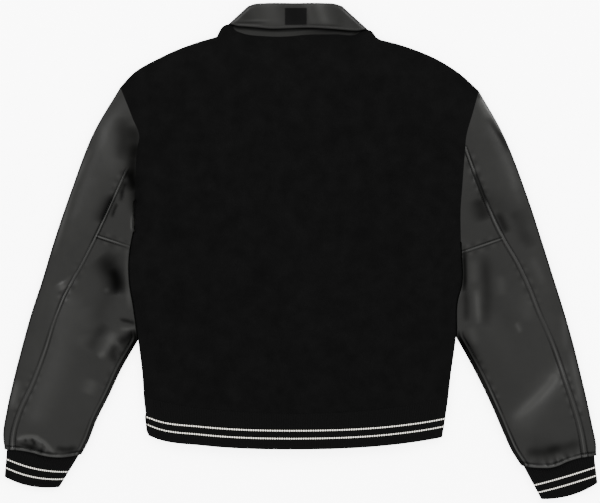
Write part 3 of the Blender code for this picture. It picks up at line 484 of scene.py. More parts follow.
# %% [markdown]
# ## Flat tubes of cloth
#
# Back and front together are a flat tube, and so is a sleeve. Seen from its end such a tube is a thin loop:
# the top skin bulges a little, the bottom skin is flat on the table, and the two meet in a half circle at
# each side. The next class holds such a tube. It gives a height for any place in plan, from how far that
# place is from the nearest side edge. Panels that are neighbours read the same tube, so they meet without a
# step. It also gives a tone: painted shade below zero, in hollows and on rolled edges, and painted highlight
# above zero, on ridges. The materials read it.

# %% A flat tube of cloth
EDGE_TONE, EDGE_REACH = 3.0, 2.6      # painted shade where two pieces meet, or a panel turns under
RIM_TONE, RIM_REACH = 3.2, 4.4        # painted shade round the outside of the garment
RIM_SHADE_LIFT, RIM_SHADE_LIFT_REACH = (306, 222), 75.0      # but here the painted rim shade is mostly lifted, so that the sleeve's rim shows a highlight
FOLD_TONE, RIDGE_TONE, HOLLOW_TONE = 0.15, 1.0, 1.4      # painted highlight and painted shade per millimetre of height or depth
TONE_FROM = 5.0                       # creases paint their full shade or highlight this far from an edge
NECK_EASE, CUFF_EASE, CUFF_FLAT = 45.0, 40.0, 0.15       # cloth is drawn flat near the neck and the cuffs
FOLD_FROM, CREASE_FROM, PUCKER_FROM = (4, 26), (1, 12), (2, 9)      # how far from an edge they begin
SNAP_ROW, SNAP_LOW = (60, 15), (-262, -238)              # where the wool starts to lie behind the caps


class Tube:
    def __init__(self, rims, edges, floor, top, relief=None):
        self.rims, self.edges, self.floor, self.top, self.relief = rims, edges, floor, top, relief

    def lay(self, xy, side):
        """Height of the cloth at places in plan, and its tone of painted shade and highlight."""
        rim = np.min([near(xy, edge)[0] for edge in self.rims], axis=0)
        far = np.min([rim] + [near(xy, edge)[0] for edge in self.edges], axis=0)
        low, high = self.floor(xy), self.top(xy)
        radius, middle = (high - low) / 2, (high + low) / 2
        c = np.clip(1 - far / radius, 0, 1)
        round_off = np.sqrt(1 - c * c)
        height = middle + side * radius * round_off
        # painted shade on edges and round the rim, mostly lifted at one place on the right sleeve
        rim_shade_gain = 0.1 + 0.9 * smooth(0.3, 1.0, np.linalg.norm(xy - RIM_SHADE_LIFT, axis=1) / RIM_SHADE_LIFT_REACH)
        tone = -EDGE_TONE * (1 - smooth(0, EDGE_REACH, far)) * rim_shade_gain
        tone = np.minimum(tone, -RIM_TONE * (1 - smooth(0.4 * RIM_REACH, RIM_REACH, rim)) * rim_shade_gain)
        # the relief adds its own painted shade and highlight
        if side > 0 and self.relief:
            relief, creased = self.relief(xy, far)
            height = height + relief * round_off
            tone = tone + creased * smooth(0, TONE_FROM, far)
        return height, tone


def level(height):
    return lambda xy: np.full(len(xy), height)


def neck_lift(xy):
    """The cloth round the neck lies on the collar's leaf."""
    far = np.linalg.norm(xy - np.array(LIFT_CENTRE), axis=1)
    return LEAF_LIFT * (1 - smooth(LIFT_FULL, LIFT_END, far))


def cloth_top(xy):
    return EDGE_THICKNESS + neck_lift(xy)


def cloth_relief(xy, far):
    """The soft swell of the upper skin with its folds, by how far a place is from an edge, and their painted
    shade and highlight.
    """
    ease = smooth(0, NECK_EASE, near(xy, NECK.dense)[0])
    for seam in CUFF_SEAM.values():
        ease = ease * (CUFF_FLAT + (1 - CUFF_FLAT) * smooth(0, CUFF_EASE, near(xy, seam)[0]))
    inside = np.maximum(far - EDGE_THICKNESS / 2, 0)
    pillow = PILLOW * (1 - 1 / (1 + (inside / PILLOW_REACH) ** 2))
    folds, creases = heights(xy, FOLD_LINES, False), heights(xy, CREASE_LINES, True)
    puckers = pucker_height(xy) * smooth(*PUCKER_FROM, far)
    worked = folds * smooth(*FOLD_FROM, far) + creases * smooth(*CREASE_FROM, far)
    # painted shade in hollows and painted highlight on ridges and puckers
    tone = FOLD_TONE * folds + np.where(creases > 0, RIDGE_TONE, HOLLOW_TONE) * creases + puckers
    return ease * (pillow + worked) + puckers, tone


def lap(xy):
    """How much higher the right front lies, on the left one, where they overlap at the placket."""
    return LAP_STEP * (1 - smooth(LAP_FULL, LAP_END, xy[:, 0]))


def body_floor(xy):
    """The underside of the fronts: the snap caps stand a little proud of the wool round them."""
    beside = smooth(*SNAP_ROW, np.abs(xy[:, 0] - SNAP_X)) * smooth(*SNAP_LOW, xy[:, 1])
    return neck_lift(xy) + SNAP_STEP * beside


outer_edges = [chain(SHOULDER[side].dense[::-1], OUTER[side].dense) for side in HAND]
side_edges = [chain(SIDE[side].dense, RIB_SIDE[side].dense) for side in HAND]
inner_edges = [INNER[side].dense for side in HAND]
BODY = Tube(outer_edges, side_edges, body_floor, cloth_top, cloth_relief)
LAPPED = Tube(outer_edges, side_edges, lambda xy: body_floor(xy) + lap(xy), cloth_top, cloth_relief)
SLEEVE = Tube(outer_edges, inner_edges, neck_lift, cloth_top, cloth_relief)
print("the cloth over the middle of the back is", BODY.lay(np.array([[0.0, 60.0]]), 1)[0].round(1), "mm high")

# %% [markdown]
# ## Materials
#
# One small function adds a node, sets its options and wires its inputs. Colours are given as sRGB hex
# values, as in a paint program, and turned to linear light once. Sizes of grain, thread and weave are real
# millimetres.

# %% Colours and nodes
def colour(hex_value):
    parts = [int(hex_value[k : k + 2], 16) / 255 for k in (1, 3, 5)]
    return (*[c / 12.92 if c <= 0.04045 else ((c + 0.055) / 1.055) ** 2.4 for c in parts], 1)


def add(material, kind, inputs=(), **settings):
    """Adds a node; inputs pairs a socket's name or number with a value or with another node's output."""
    node = material.node_tree.nodes.new(kind)
    for name, value in settings.items():
        setattr(node, name, value)
    for key, value in dict(inputs).items():
        if isinstance(value, bpy.types.NodeSocket):
            material.node_tree.links.new(value, node.inputs[key])
        else:
            node.inputs[key].default_value = value
    return node


def per_mm(size):
    """The scale of a pattern whose features are this many millimetres, on coordinates in metres."""
    return 1000.0 / size


def new_material(name, **values):
    """A material and its shader, with values for the shader's sockets."""
    material = bpy.data.materials.new(name)
    material.use_nodes = True
    shader = material.node_tree.nodes["Principled BSDF"]
    for key, value in values.items():
        shader.inputs[key.replace("_", " ")].default_value = value
    return material, shader


print("mid grey, #808080, is", round(colour("#808080")[0], 3), "in linear light")


# %% [markdown]
# ### Lambskin
#
# Sleeve leather is chrome-tanned lambskin, dyed through and finished with a thin semi-gloss coat. The eye
# sees soft wide highlights, a fine pebble of about 1 mm, and slack wrinkles of a few millimetres where it
# was worked. The pebble is a Voronoi pattern, drawn a little coarser than real so that it shows.

# %% Leather
TONE_BASE = 1.6      # painted: a tone of 1 is this many times lighter, and -1 as many times darker


def painted_shade_factor(material, base, most):
    """How many times lighter or darker a place is painted, from the painted shade and highlight in the
    piece's tone.
    """
    tone = add(material, "ShaderNodeAttribute", attribute_name="tone").outputs["Fac"]
    power = add(material, "ShaderNodeMath", {0: base, 1: tone}, operation="POWER").outputs["Value"]
    return add(material, "ShaderNodeMath", {0: power, 1: most}, operation="MINIMUM").outputs["Value"]


def leather_material(name, dark, light, roughness, pebble=1.3, shine=0.5):
    material, shader = new_material(name, IOR=1.5)
    where = add(material, "ShaderNodeTexCoord").outputs["Object"]
    shade = painted_shade_factor(material, TONE_BASE, 1.8)
    cells = add(material, "ShaderNodeTexVoronoi", {"Vector": where, "Scale": per_mm(pebble)})
    slack = add(material, "ShaderNodeTexNoise", {"Vector": where, "Scale": per_mm(15), "Detail": 2.0})
    patchy = add(material, "ShaderNodeTexNoise", {"Vector": where, "Scale": per_mm(70), "Detail": 2.0})
    dye = add(material, "ShaderNodeMapRange", {"Value": patchy.outputs["Fac"], "From Min": 0.3,
                                               "From Max": 0.7})
    mix = add(material, "ShaderNodeMix", {"Factor": dye.outputs["Result"], 6: colour(dark), 7: colour(light)},
              data_type="RGBA")
    # the colour is multiplied by the painted shade and highlight
    shaded_colour = add(material, "ShaderNodeMix", {"Factor": 1.0, 6: mix.outputs[2], 7: shade}, data_type="RGBA",
               blend_type="MULTIPLY")
    # and so is the shine: a painted reflection, dimmer in hollows and on edges, brighter on ridges
    shaded_shine = add(material, "ShaderNodeMath", {0: shade, 1: shine}, operation="MULTIPLY")
    gloss = add(material, "ShaderNodeMapRange", {"Value": slack.outputs["Fac"], "From Min": 0.3,
                                                 "From Max": 0.7, "To Min": roughness - 0.04,
                                                 "To Max": roughness + 0.05})
    wrinkles = add(material, "ShaderNodeBump", {"Height": slack.outputs["Fac"], "Strength": 0.15,
                                                "Distance": 1.0 * MM})
    grain = add(material, "ShaderNodeBump", {"Height": cells.outputs["Distance"], "Strength": 0.25,
                                             "Distance": 0.1 * MM, "Normal": wrinkles.outputs["Normal"]})
    for socket, output in (("Base Color", shaded_colour.outputs[2]), ("Specular IOR Level", shaded_shine.outputs["Value"]),
                           ("Roughness", gloss.outputs["Result"]), ("Normal", grain.outputs["Normal"])):
        material.node_tree.links.new(output, shader.inputs[socket])
    return material


LAMBSKIN = leather_material("lambskin_dark_grey", "#070706", "#090908", 0.38, shine=0.10)
PATCH_LEATHER = leather_material("patch_calfskin_black", "#010101", "#020202", 0.5, pebble=0.9, shine=0.03)
print("scale of the leather's pebble:", round(per_mm(1.3)))

# %% [markdown]
# ### Melton wool
#
# Melton is woven wool, milled until its surface is felt. No weave shows: the eye sees a matt, deep black
# with a short nap that lightens at a glancing angle. Sheen gives that, and two noises give the tangled
# fibres.

# %% Wool
def wool_material():
    material, shader = new_material("melton_wool_black", Roughness=0.95, Specular_IOR_Level=0.02,
                                    Sheen_Weight=0.004, Sheen_Roughness=0.5)
    where = add(material, "ShaderNodeTexCoord").outputs["Object"]
    fibres = add(material, "ShaderNodeTexNoise", {"Vector": where, "Scale": per_mm(1.6), "Detail": 4.0,
                                                  "Roughness": 0.7})
    felted = add(material, "ShaderNodeTexNoise", {"Vector": where, "Scale": per_mm(22), "Detail": 3.0})
    blend = add(material, "ShaderNodeMath", {0: fibres.outputs["Fac"], 1: felted.outputs["Fac"]},
                operation="MULTIPLY")
    tone = add(material, "ShaderNodeMapRange", {"Value": blend.outputs["Value"], "From Min": 0.12,
                                                "From Max": 0.40})
    mix = add(material, "ShaderNodeMix", {"Factor": tone.outputs["Result"], 6: colour("#020202"),
                                          7: colour("#040404")}, data_type="RGBA")
    nap = add(material, "ShaderNodeBump", {"Height": fibres.outputs["Fac"], "Strength": 0.6,
                                           "Distance": 0.5 * MM})
    # the wool's colour is multiplied by the painted shade and highlight of its folds
    shaded_colour = add(material, "ShaderNodeMix", {"Factor": 1.0, 6: mix.outputs[2], 7: painted_shade_factor(material, 1.12, 1.5)},
               data_type="RGBA", blend_type="MULTIPLY")
    material.node_tree.links.new(shaded_colour.outputs[2], shader.inputs["Base Color"])
    material.node_tree.links.new(nap.outputs["Normal"], shader.inputs["Normal"])
    return material


MELTON = wool_material()
print("wool:", len(MELTON.node_tree.nodes), "nodes")

# %% [markdown]
# ### Rib knit
#
# The hem and cuffs are a wool rib, knitted so that columns of loops stand up and the ones between sink. Two
# courses are knitted in off-white. Its pattern has to follow the cloth, so it reads the piece's own UV map:
# U counts ribs and V is the distance from the free edge in millimetres. A stripe is wiped out between the
# ribs, where the loops sink, and that breaks it into the short dashes that show on a real rib.

# %% Knit
COURSE = 1.9                             # height of a knitted course, drawn coarse so that it shows
STRIPE_HALF, STRIPE_FUZZ = 0.9, 0.35     # half the width of a stripe, and of its soft border


def knit_material(name, stripes):
    material, shader = new_material(name, Roughness=0.9, Specular_IOR_Level=0.03, Sheen_Weight=0.004,
                                    Sheen_Roughness=0.5)
    cloth = add(material, "ShaderNodeUVMap", uv_map="cloth")
    split = add(material, "ShaderNodeSeparateXYZ", {0: cloth.outputs["UV"]})
    ribs, down = split.outputs["X"], split.outputs["Y"]
    where = add(material, "ShaderNodeTexCoord").outputs["Object"]
    noise = add(material, "ShaderNodeTexNoise", {"Vector": where, "Scale": per_mm(1.1), "Detail": 3.0})
    fuzz = noise.outputs["Fac"]
    # the stripes: two bands across the rib with fuzzy borders, wiped out between the ribs
    uneven = add(material, "ShaderNodeMath", {0: fuzz, 1: 0.5}, operation="SUBTRACT").outputs["Value"]
    wavy = add(material, "ShaderNodeMath", {0: uneven, 1: 0.9, 2: down}, operation="MULTIPLY_ADD")
    mask = 0.0
    for place in stripes:
        past = add(material, "ShaderNodeMath", {0: wavy.outputs["Value"], 1: place},
                   operation="SUBTRACT").outputs["Value"]
        far = add(material, "ShaderNodeMath", {0: past}, operation="ABSOLUTE").outputs["Value"]
        band = add(material, "ShaderNodeMapRange", {"Value": far, "From Min": STRIPE_HALF + STRIPE_FUZZ,
                                                    "From Max": STRIPE_HALF - STRIPE_FUZZ}).outputs["Result"]
        mask = add(material, "ShaderNodeMath", {0: band, 1: mask}, operation="MAXIMUM").outputs["Value"]
    turn = add(material, "ShaderNodeMath", {0: ribs, 1: 2 * math.pi}, operation="MULTIPLY").outputs["Value"]
    crest = add(material, "ShaderNodeMath", {0: turn}, operation="COSINE").outputs["Value"]
    shown = add(material, "ShaderNodeMapRange", {"Value": crest, "From Min": -0.75, "From Max": 0.2,
                                                 "To Min": 0.04, "To Max": 1.0}).outputs["Result"]
    stripe = add(material, "ShaderNodeMath", {0: mask, 1: shown}, operation="MULTIPLY").outputs["Value"]
    mix = add(material, "ShaderNodeMix", {"Factor": stripe, 6: colour("#020202"), 7: colour("#c4c1b8")},
              data_type="RGBA")
    # the relief: loops from course to course, and loose fibres
    course = add(material, "ShaderNodeMath", {0: down, 1: 2 * math.pi / COURSE}, operation="MULTIPLY")
    loops = add(material, "ShaderNodeMath", {0: course.outputs["Value"]}, operation="SINE").outputs["Value"]
    height = add(material, "ShaderNodeMath", {0: loops, 1: 0.5, 2: fuzz}, operation="MULTIPLY_ADD")
    bump = add(material, "ShaderNodeBump", {"Height": height.outputs["Value"], "Strength": 0.5,
                                            "Distance": 0.35 * MM})
    material.node_tree.links.new(mix.outputs[2], shader.inputs["Base Color"])
    material.node_tree.links.new(bump.outputs["Normal"], shader.inputs["Normal"])
    return material


HEM_KNIT = knit_material("wool_rib_hem", (30.8, 18.0))
CUFF_KNIT = {"left": knit_material("wool_rib_cuff_left", (29.3, 15.4)),
             "right": knit_material("wool_rib_cuff_right", (25.8, 12.4))}
print("a hem 60 mm deep has", round(60 / COURSE), "courses as drawn")

# %% [markdown]
# ### Thread and enamel
#
# Topstitching is bonded polyester, a little lighter than the leather because it is round and catches the
# light. The snap caps are pressed brass under black stove enamel, smooth and glossy.

# %% Thread and snap caps
THREAD, _ = new_material("bonded_thread_grey", Base_Color=colour("#090908"), Roughness=0.5,
                         Specular_IOR_Level=0.1)
ENAMEL, _ = new_material("snap_enamel_black", Base_Color=colour("#040404"), Roughness=0.22, Coat_Weight=0.4)
print(len(bpy.data.materials), "materials so far")

# %% [markdown]
# ## Laying a panel
#
# Every panel starts as a plain grid from `create_grid`. Its vertices are then moved: a grid's column and
# row say which place in plan is theirs, and the tube says the height there. Solidify gives the cloth its
# thickness, inwards, so the outside stays where it was laid. The same grid carries a UV map in metres along
# the cloth.

# %% From a grid to a piece of cloth
MERGE = 0.02 * MM      # places of a closed tube that are nearer than this are one


def mesh_from(bm, name):
    mesh = bpy.data.meshes.new(name)
    bm.to_mesh(mesh)
    bm.free()
    return mesh


def put_in_scene(name, data):
    thing = bpy.data.objects.new(name, data)
    bpy.context.scene.collection.objects.link(thing)
    return thing


def cloth_uv(places):
    """Metres along the rows and the columns of a panel, measured through its middle."""
    rows, columns = places.shape[:2]
    middles = places[rows // 2, :, :3], places[:, columns // 2, :3]
    return np.stack(np.meshgrid(*[run_lengths(middle) * MM for middle in middles]), axis=-1)


def face_out(piece, plan, side):
    """Turns the faces over if the grid's columns and rows run the wrong way round for an outside."""
    across, along = plan[:, 1:] - plan[:, :-1], plan[1:] - plan[:-1]
    turn = (across[:-1, :, 0] * along[:, :-1, 1] - across[:-1, :, 1] * along[:, :-1, 0]).sum()
    if turn * side < 0:
        piece.data.flip_normals()


def panel(name, places, material, thickness, plan, side=1, uv=None, closed=False):
    """A grid of cloth whose vertices lie at places[row, column]: x, y and z in millimetres, and the tone,
    which paints shade and highlight.

    The plan is that of a stretch which faces up (side 1) or down (-1), and tells which way is outside.
    """
    rows, columns = places.shape[:2]
    bm = bmesh.new()
    bm.loops.layers.uv.new("cloth")
    bmesh.ops.create_grid(bm, x_segments=columns - 1, y_segments=rows - 1, size=0.5, calc_uvs=True)
    mesh = mesh_from(bm, name)
    flat = np.empty(3 * len(mesh.vertices))
    mesh.vertices.foreach_get("co", flat)
    flat = flat.reshape(-1, 3)[:, :2]
    flat = (flat - flat.min(axis=0)) / np.ptp(flat, axis=0)
    column, row = (np.rint(flat * (columns - 1, rows - 1)).astype(int)).T
    mesh.vertices.foreach_set("co", (places[row, column, :3] * MM).ravel())
    # the tone of painted shade and highlight, for the materials
    mesh.attributes.new("tone", "FLOAT", "POINT").data.foreach_set("value", places[row, column, 3])
    if uv is None:
        uv = cloth_uv(places)
    corner = np.empty(len(mesh.loops), int)
    mesh.loops.foreach_get("vertex_index", corner)
    mesh.uv_layers["cloth"].data.foreach_set("uv", uv[row[corner], column[corner]].ravel())
    bm = bmesh.new()
    bm.from_mesh(mesh)
    if closed:
        bmesh.ops.remove_doubles(bm, verts=bm.verts, dist=MERGE)
    for edge in bm.edges:
        edge.smooth = not edge.is_boundary
    for face in bm.faces:
        face.smooth = True
    bm.to_mesh(mesh)
    bm.free()
    mesh.materials.append(material)
    piece = put_in_scene(name, mesh)
    wall = piece.modifiers.new("thickness", "SOLIDIFY")
    wall.thickness, wall.offset = thickness * MM, -1
    face_out(piece, plan, side)
    return piece


def laid(tube, plan, side, extra=None):
    """Places of a plan on a tube: x, y, z and tone. An extra relief adds to the last two."""
    xy = plan.reshape(-1, 2)
    z, tone = tube.lay(xy, side)
    if extra is not None:
        more, shade = extra(xy)
        z, tone = z + more, tone + shade
    return np.column_stack([xy, z, tone]).reshape(*plan.shape[:2], 4)


ROLL = (0.15, 0.6, 1.3, 2.25, 3.3, 4.5, 6.2, 8.4)     # closer columns where cloth rolls round an edge
WOOL_STEP, UNDER_STEP = 3.6, 9.0                      # spacing of the rest, on top and underneath
print("a panel's first columns lie", ROLL[:4], "mm from its edge")

# %% [markdown]
# ## The wool body
#
# The back is one panel from the rib seam up to the shoulders and the neck. Four border lines are enough: a
# Coons patch spreads the grid evenly between them, which is what lets a straight grid fill a jacket's
# outline.

# %% Back panel
def side_column(side, step):
    """A side border from the rib seam up the side and the armhole."""
    shares = marks(SIDE[side].length, step, start=(1.5, 3.0))
    armhole = ARMHOLE[side].at(1 - marks(ARMHOLE[side].length, step, end=ROLL))
    return chain(SIDE[side].at(1 - shares), armhole)


def rib_seam_below(above, start, end):
    """Places on the rib seam, spaced like the row above."""
    return RIB_SEAM.at(start + (end - start) * run_shares(above))


def same_count(left, right):
    """Two columns with the same number of places, so that a grid can run between them."""
    if len(left) < len(right):
        return left, resample(right, run_shares(left))
    if len(left) > len(right):
        return resample(left, run_shares(right)), right
    return left, right


def make_back():
    left, right = same_count(side_column("left", WOOL_STEP), side_column("right", WOOL_STEP))
    shoulders = {side: line.at(marks(line.length, WOOL_STEP, start=ROLL)) for side, line in SHOULDER.items()}
    top = chain(shoulders["left"], NECK.at(marks(NECK.length, WOOL_STEP)), shoulders["right"][::-1])
    plan = coons(rib_seam_below(top, 0, 1), top, left, right)
    return panel("wool_back", laid(BODY, plan, 1), MELTON, WOOL, plan)


wool_back = make_back()
print("back panel:", len(wool_back.data.polygons), "faces")

# %% [markdown]
# The two fronts lie underneath. Nobody looks at them unless the jacket is turned over, so their grid is
# coarser, but they are cut and placed just as carefully. Where they overlap at the placket the left one is
# outside, so it lies lowest, and the right one rests on it.

# %% Front panels
def make_front(side):
    edge_x = PLACKET * HAND[side]
    column = side_column(side, UNDER_STEP)
    shoulder = SHOULDER[side].at(marks(SHOULDER[side].length, UNDER_STEP, start=ROLL))
    neck = NECK_FRONT[side].at(marks(NECK_FRONT[side].length, UNDER_STEP))
    corner = np.array([[edge_x, neck[-1][1]]])
    top = chain(shoulder, neck, np.vstack([neck[-1:], corner]))
    start = 0 if side == "left" else 1
    bottom = rib_seam_below(top, start, RIB_SEAM.share_at_x(edge_x))
    placket = between(bottom[-1], corner[0], run_shares(column))
    plan = coons(bottom, top, column, placket)
    tube = BODY if side == "left" else LAPPED
    return panel(f"wool_front_{side}", laid(tube, plan, -1), MELTON, WOOL, plan, side=-1)


wool_fronts = {side: make_front(side) for side in HAND}
print("front panels:", [len(piece.data.polygons) for piece in wool_fronts.values()], "faces")

# %% [markdown]
# ## Leather sleeves
#
# Each sleeve is three panels: a large upper one that runs from the back seam round the outer edge, under
# the arm and up again to the inner seam, and an under sleeve that is pieced from two. Their seams are
# pressed open and topstitched on both sides, so a seam is a low welt with a row of stitches sunk along each
# of its edges.

# %% The welt along a seam
STITCH_MARKS = {
    # how far down (Y), and there the distance from the join to the stitches on each side of it
    "left": [(130, 2.5), (-100, 2.7), (-220, 4.0), (-320, 4.6)],
    "right": [(130, 2.8), (40, 3.5), (-200, 4.0), (-330, 5.2)]}
INNER_STITCH, PIECING_STITCH = 3.4, 2.3
GROOVE, JOIN = 1.1, 0.8      # half width of a row of stitches and of the painted highlight along the join


def stitch_distance(side, name, y):
    if name == "inner":
        return np.full(len(y), INNER_STITCH)
    down, apart = zip(*STITCH_MARKS[side][::-1])
    return np.interp(y, down, apart)


def bell(far, half_width):
    return np.exp(-((far / half_width) ** 2))


def welt(far, stitch):
    """Height and tone of a topstitched seam: a low ridge between two sunk rows of stitches, with a painted
    highlight along the join and painted shade in the stitch grooves.
    """
    ridge, groove = np.exp(-((far / (0.6 * stitch)) ** 4)), bell(far - stitch, GROOVE)
    return 0.7 * ridge - 0.5 * groove, 1.7 * bell(far, JOIN) - 2.1 * groove


PIECING_SHADE = {"left": (1.8, 3.0), "right": (3.0, 1.8)}      # painted shade at its upper and lower rows of stitches
PIECING_GAIN = {"left": (1.1, 0.5), "right": (0.5, 1.1)}       # its strength at the back seam and the edge
SEAM_GAIN = {
    # how much a seam stands out at a height Y: the leather is drawn tight over some stretches of it
    ("left", "back"): [(-330, 1.0), (-250, 0.9), (-180, 0.5), (-90, 0.7), (-55, 1.1), (-35, 0.4), (8, 0.45),
                       (22, 1.1), (126, 1.1), (137, 0)],
    ("right", "back"): [(-330, 1.0), (-200, 1.0), (-165, 0.7), (-150, 0.4), (-80, 0.4), (-55, 0.8),
                        (-20, 0.6), (10, 0.5), (40, 0.8), (130, 1.1), (155, 1.0), (172, 0.6)],
    ("left", "inner"): [(-330, 0.3), (-230, 0.4), (-165, 1.0), (-150, 1.0), (-128, 0)],
    ("right", "inner"): [(-330, 1.0), (-150, 1.0), (-128, 0)]}


def piecing_welt(above, side):
    """Height of the short seam across the under sleeve, with a painted highlight on its ridge and painted
    shade at its stitches, by how far above the join a place is.
    """
    upper, lower = bell(above - PIECING_STITCH, 1.0), bell(above + PIECING_STITCH, 1.0)
    ridge = bell(above, 1.3)
    shade_up, shade_down = PIECING_SHADE[side]
    return 0.7 * ridge - 0.3 * (upper + lower), 1.8 * ridge - shade_up * upper - shade_down * lower


def piecing_line(side):
    """The piecing seam's two ends. Its fold shows as far as the sleeve's inner edge."""
    rows = np.array([PIECING_ROW])
    return BACK_SEAM[side].knots(rows)[0], INNER[side].knots(rows)[0]


def inner_seam_line(side, rows):
    """The seam that closes the sleeve, a little inside its inner edge, at some of its sections."""
    inner, seam = INNER[side].knots(rows), BACK_SEAM[side].knots(rows)
    inset = seam - inner
    line = inner + inset * INNER_SEAM[side] / np.linalg.norm(inset, axis=1)[:, None]
    line[np.asarray(rows) == 0] = ARMHOLE[side].at([1 - INNER_SEAM[side] / ARMHOLE[side].length])
    return line


def sleeve_seams(side):
    """The topstitched seams of a sleeve, as lines in plan."""
    rows = np.linspace(0, len(SLEEVE_SECTIONS[side]) - 1, 60)
    return {"back": BACK_SEAM[side].knots(rows), "inner": inner_seam_line(side, rows),
            "piecing": np.array(piecing_line(side))}


SEAMS = {side: sleeve_seams(side) for side in HAND}
print("topstitched seams of a sleeve:", ", ".join(SEAMS["left"]))

# %% [markdown]
# No seam is even. Where the leather is drawn tight the welt nearly vanishes, and between the stitches it
# gathers in small bumps. The strip of leather that hangs over the cuff is folded under, so it is a little
# thicker than the rest and a hollow runs along its top. Each of these reliefs gives a height and a tone,
# like the tube: painted shade in its grooves and hollows, and painted highlight on its ridges.

# %% Relief of the seams and of the strip on the cuff
WELT_REACH = 12                      # beyond this the leather shows nothing of a seam
GATHER, GATHER_AWAY, GATHER_WIDE = 0.35, 7, 3
INNER_SEAM_SHOWS = (-128, -150)      # the inner seam is hidden under the arm and shows below it
ELBOW = (-235, -160)                 # at the elbow it lies in shadow
STRIP_EDGE, STRIP_HOLLOW, HOLLOW_WIDE = (3.2, 4.2), 5.6, 1.7
STRIP_ENDS = {"left": (0.68, 0.82), "right": (0.84, 0.92)}     # where the painted highlight on the strip on the cuff fades


def seam_relief(side, name, xy):
    """Height beside one seam, and its painted shade and highlight."""
    line, y = SEAMS[side][name], xy[:, 1]
    far, foot, share = near(xy, line)
    if name == "piecing":
        rise, shade = piecing_welt((xy - foot)[:, 1], side)
        gain = smooth(0, 0.02, share) * np.interp(share, (0, 1), PIECING_GAIN[side])
    else:
        rise, shade = welt(far, stitch_distance(side, name, y))
        gain = np.interp(y, *np.transpose(SEAM_GAIN[side, name]))
        if name == "inner":
            # a painted shadow beside the inner seam at the elbow
            shade = shade - 2.0 * smooth(*ELBOW, y) * bell(far, 8)
    run = share * run_lengths(line)[-1]
    # the painted shade varies along the seam, and the gathers get painted highlight
    shade = shade * (1 + 0.45 * np.sin(run / 19.0 + 1.7 * np.sin(run / 47.0)))
    bumps = GATHER * np.sin(run / 2.7 + np.sin(run / 11.0)) * smooth(0, 0.5, np.sin(run / 31.0))
    gather = bumps * bell(far - GATHER_AWAY, GATHER_WIDE)
    return gain * (rise + gather), gain * (shade + 1.2 * gather)


def strip_relief(side, xy):
    """Height of the folded strip along the cuff, with a painted highlight on the strip and painted shade in
    the hollow above it.
    """
    far, _, share = near(xy, CUFF_EDGE[side])
    strip, hollow = 1 - smooth(*STRIP_EDGE, far), bell(far - STRIP_HOLLOW, HOLLOW_WIDE)
    full = 0.16 * cuff_drop(side, share) * (1 - smooth(0, 15, far))
    strip_highlight = smooth(0.05, 0.12, share) * (1 - 0.8 * smooth(*STRIP_ENDS[side], share))
    shade = 1.1 * strip * smooth(0, 1.2, far) * strip_highlight - (1.6 + 0.8 * np.sin(15 * share)) * hollow
    return 0.8 * strip - 0.9 * hollow + full, shade


def sleeve_relief(side):
    """All that is sewn on a sleeve, as one relief, with its painted shade and highlight."""
    def relief(xy):
        height, tone = strip_relief(side, xy)
        rim, y = near(xy, INNER[side].dense)[0], xy[:, 1]
        # painted shade on the strip between the inner seam and the inner edge, deeper towards the cuff
        turned = 1 - smooth(INNER_SEAM[side] - 1.8, INNER_SEAM[side] - 0.7, rim)
        tone -= turned * smooth(*INNER_SEAM_SHOWS, y) * (2.0 + 1.2 * smooth(-220, -160, y))
        for name, line in SEAMS[side].items():
            close = in_reach(xy, line, WELT_REACH)
            if close.any():
                rise, shade = seam_relief(side, name, xy[close])
                height[close] += rise
                tone[close] += shade
        return height, tone
    return relief


SEWN_RELIEF = {side: sleeve_relief(side) for side in HAND}
print("the piecing seam is", round(run_lengths(SEAMS["left"]["piecing"])[-1]), "mm long")

# %% [markdown]
# A sleeve is cut as one large panel that goes round the tube, and two smaller ones. The large panel is laid
# in three strips, on top, underneath and on top again, which share their border columns and so are one
# grid. The columns are close together beside a seam, to hold its two rows of stitches.

# %% Sleeve panels
FINE = 2.6                                                          # spacing of rows and columns
SEWN = (0.5, 1.1, 1.7, 2.3, 2.9, 3.5, 4.1, 4.7, 5.4, 6.3, 7.6)      # closer columns beside a topstitched seam
CLOSE = (1.0, 2.0, 3.0, 4.2, 5.4, 7.0)                              # closer rows at a sleeve panel's ends
UPPER_WIDTH, WHOLE_WIDTH, UNDER_WIDTH = 64, 140, 84                 # usual widths, for the column counts


def armhole_points(side, name, shares):
    """Places on the armhole, along one stretch of the sleeve's width."""
    line = ARMHOLE[side]
    seam = line.share_of(np.array(SLEEVE_SECTIONS[side][0][1], float))
    inner = 1 - INNER_SEAM[side] / line.length
    a, b = {"outer": (0, seam), "middle": (seam, inner), "inner": (inner, 1), "under": (0, 1)}[name]
    return line.at(a + (b - a) * np.asarray(shares))


def section_places(side, start, end):
    """Row places from one section to another, about one every FINE millimetres, closer at both ends."""
    length = run_lengths(OUTER[side].knots(np.linspace(start, end, 60)))[-1]
    return start + (end - start) * marks(length, FINE, start=CLOSE, end=CLOSE)


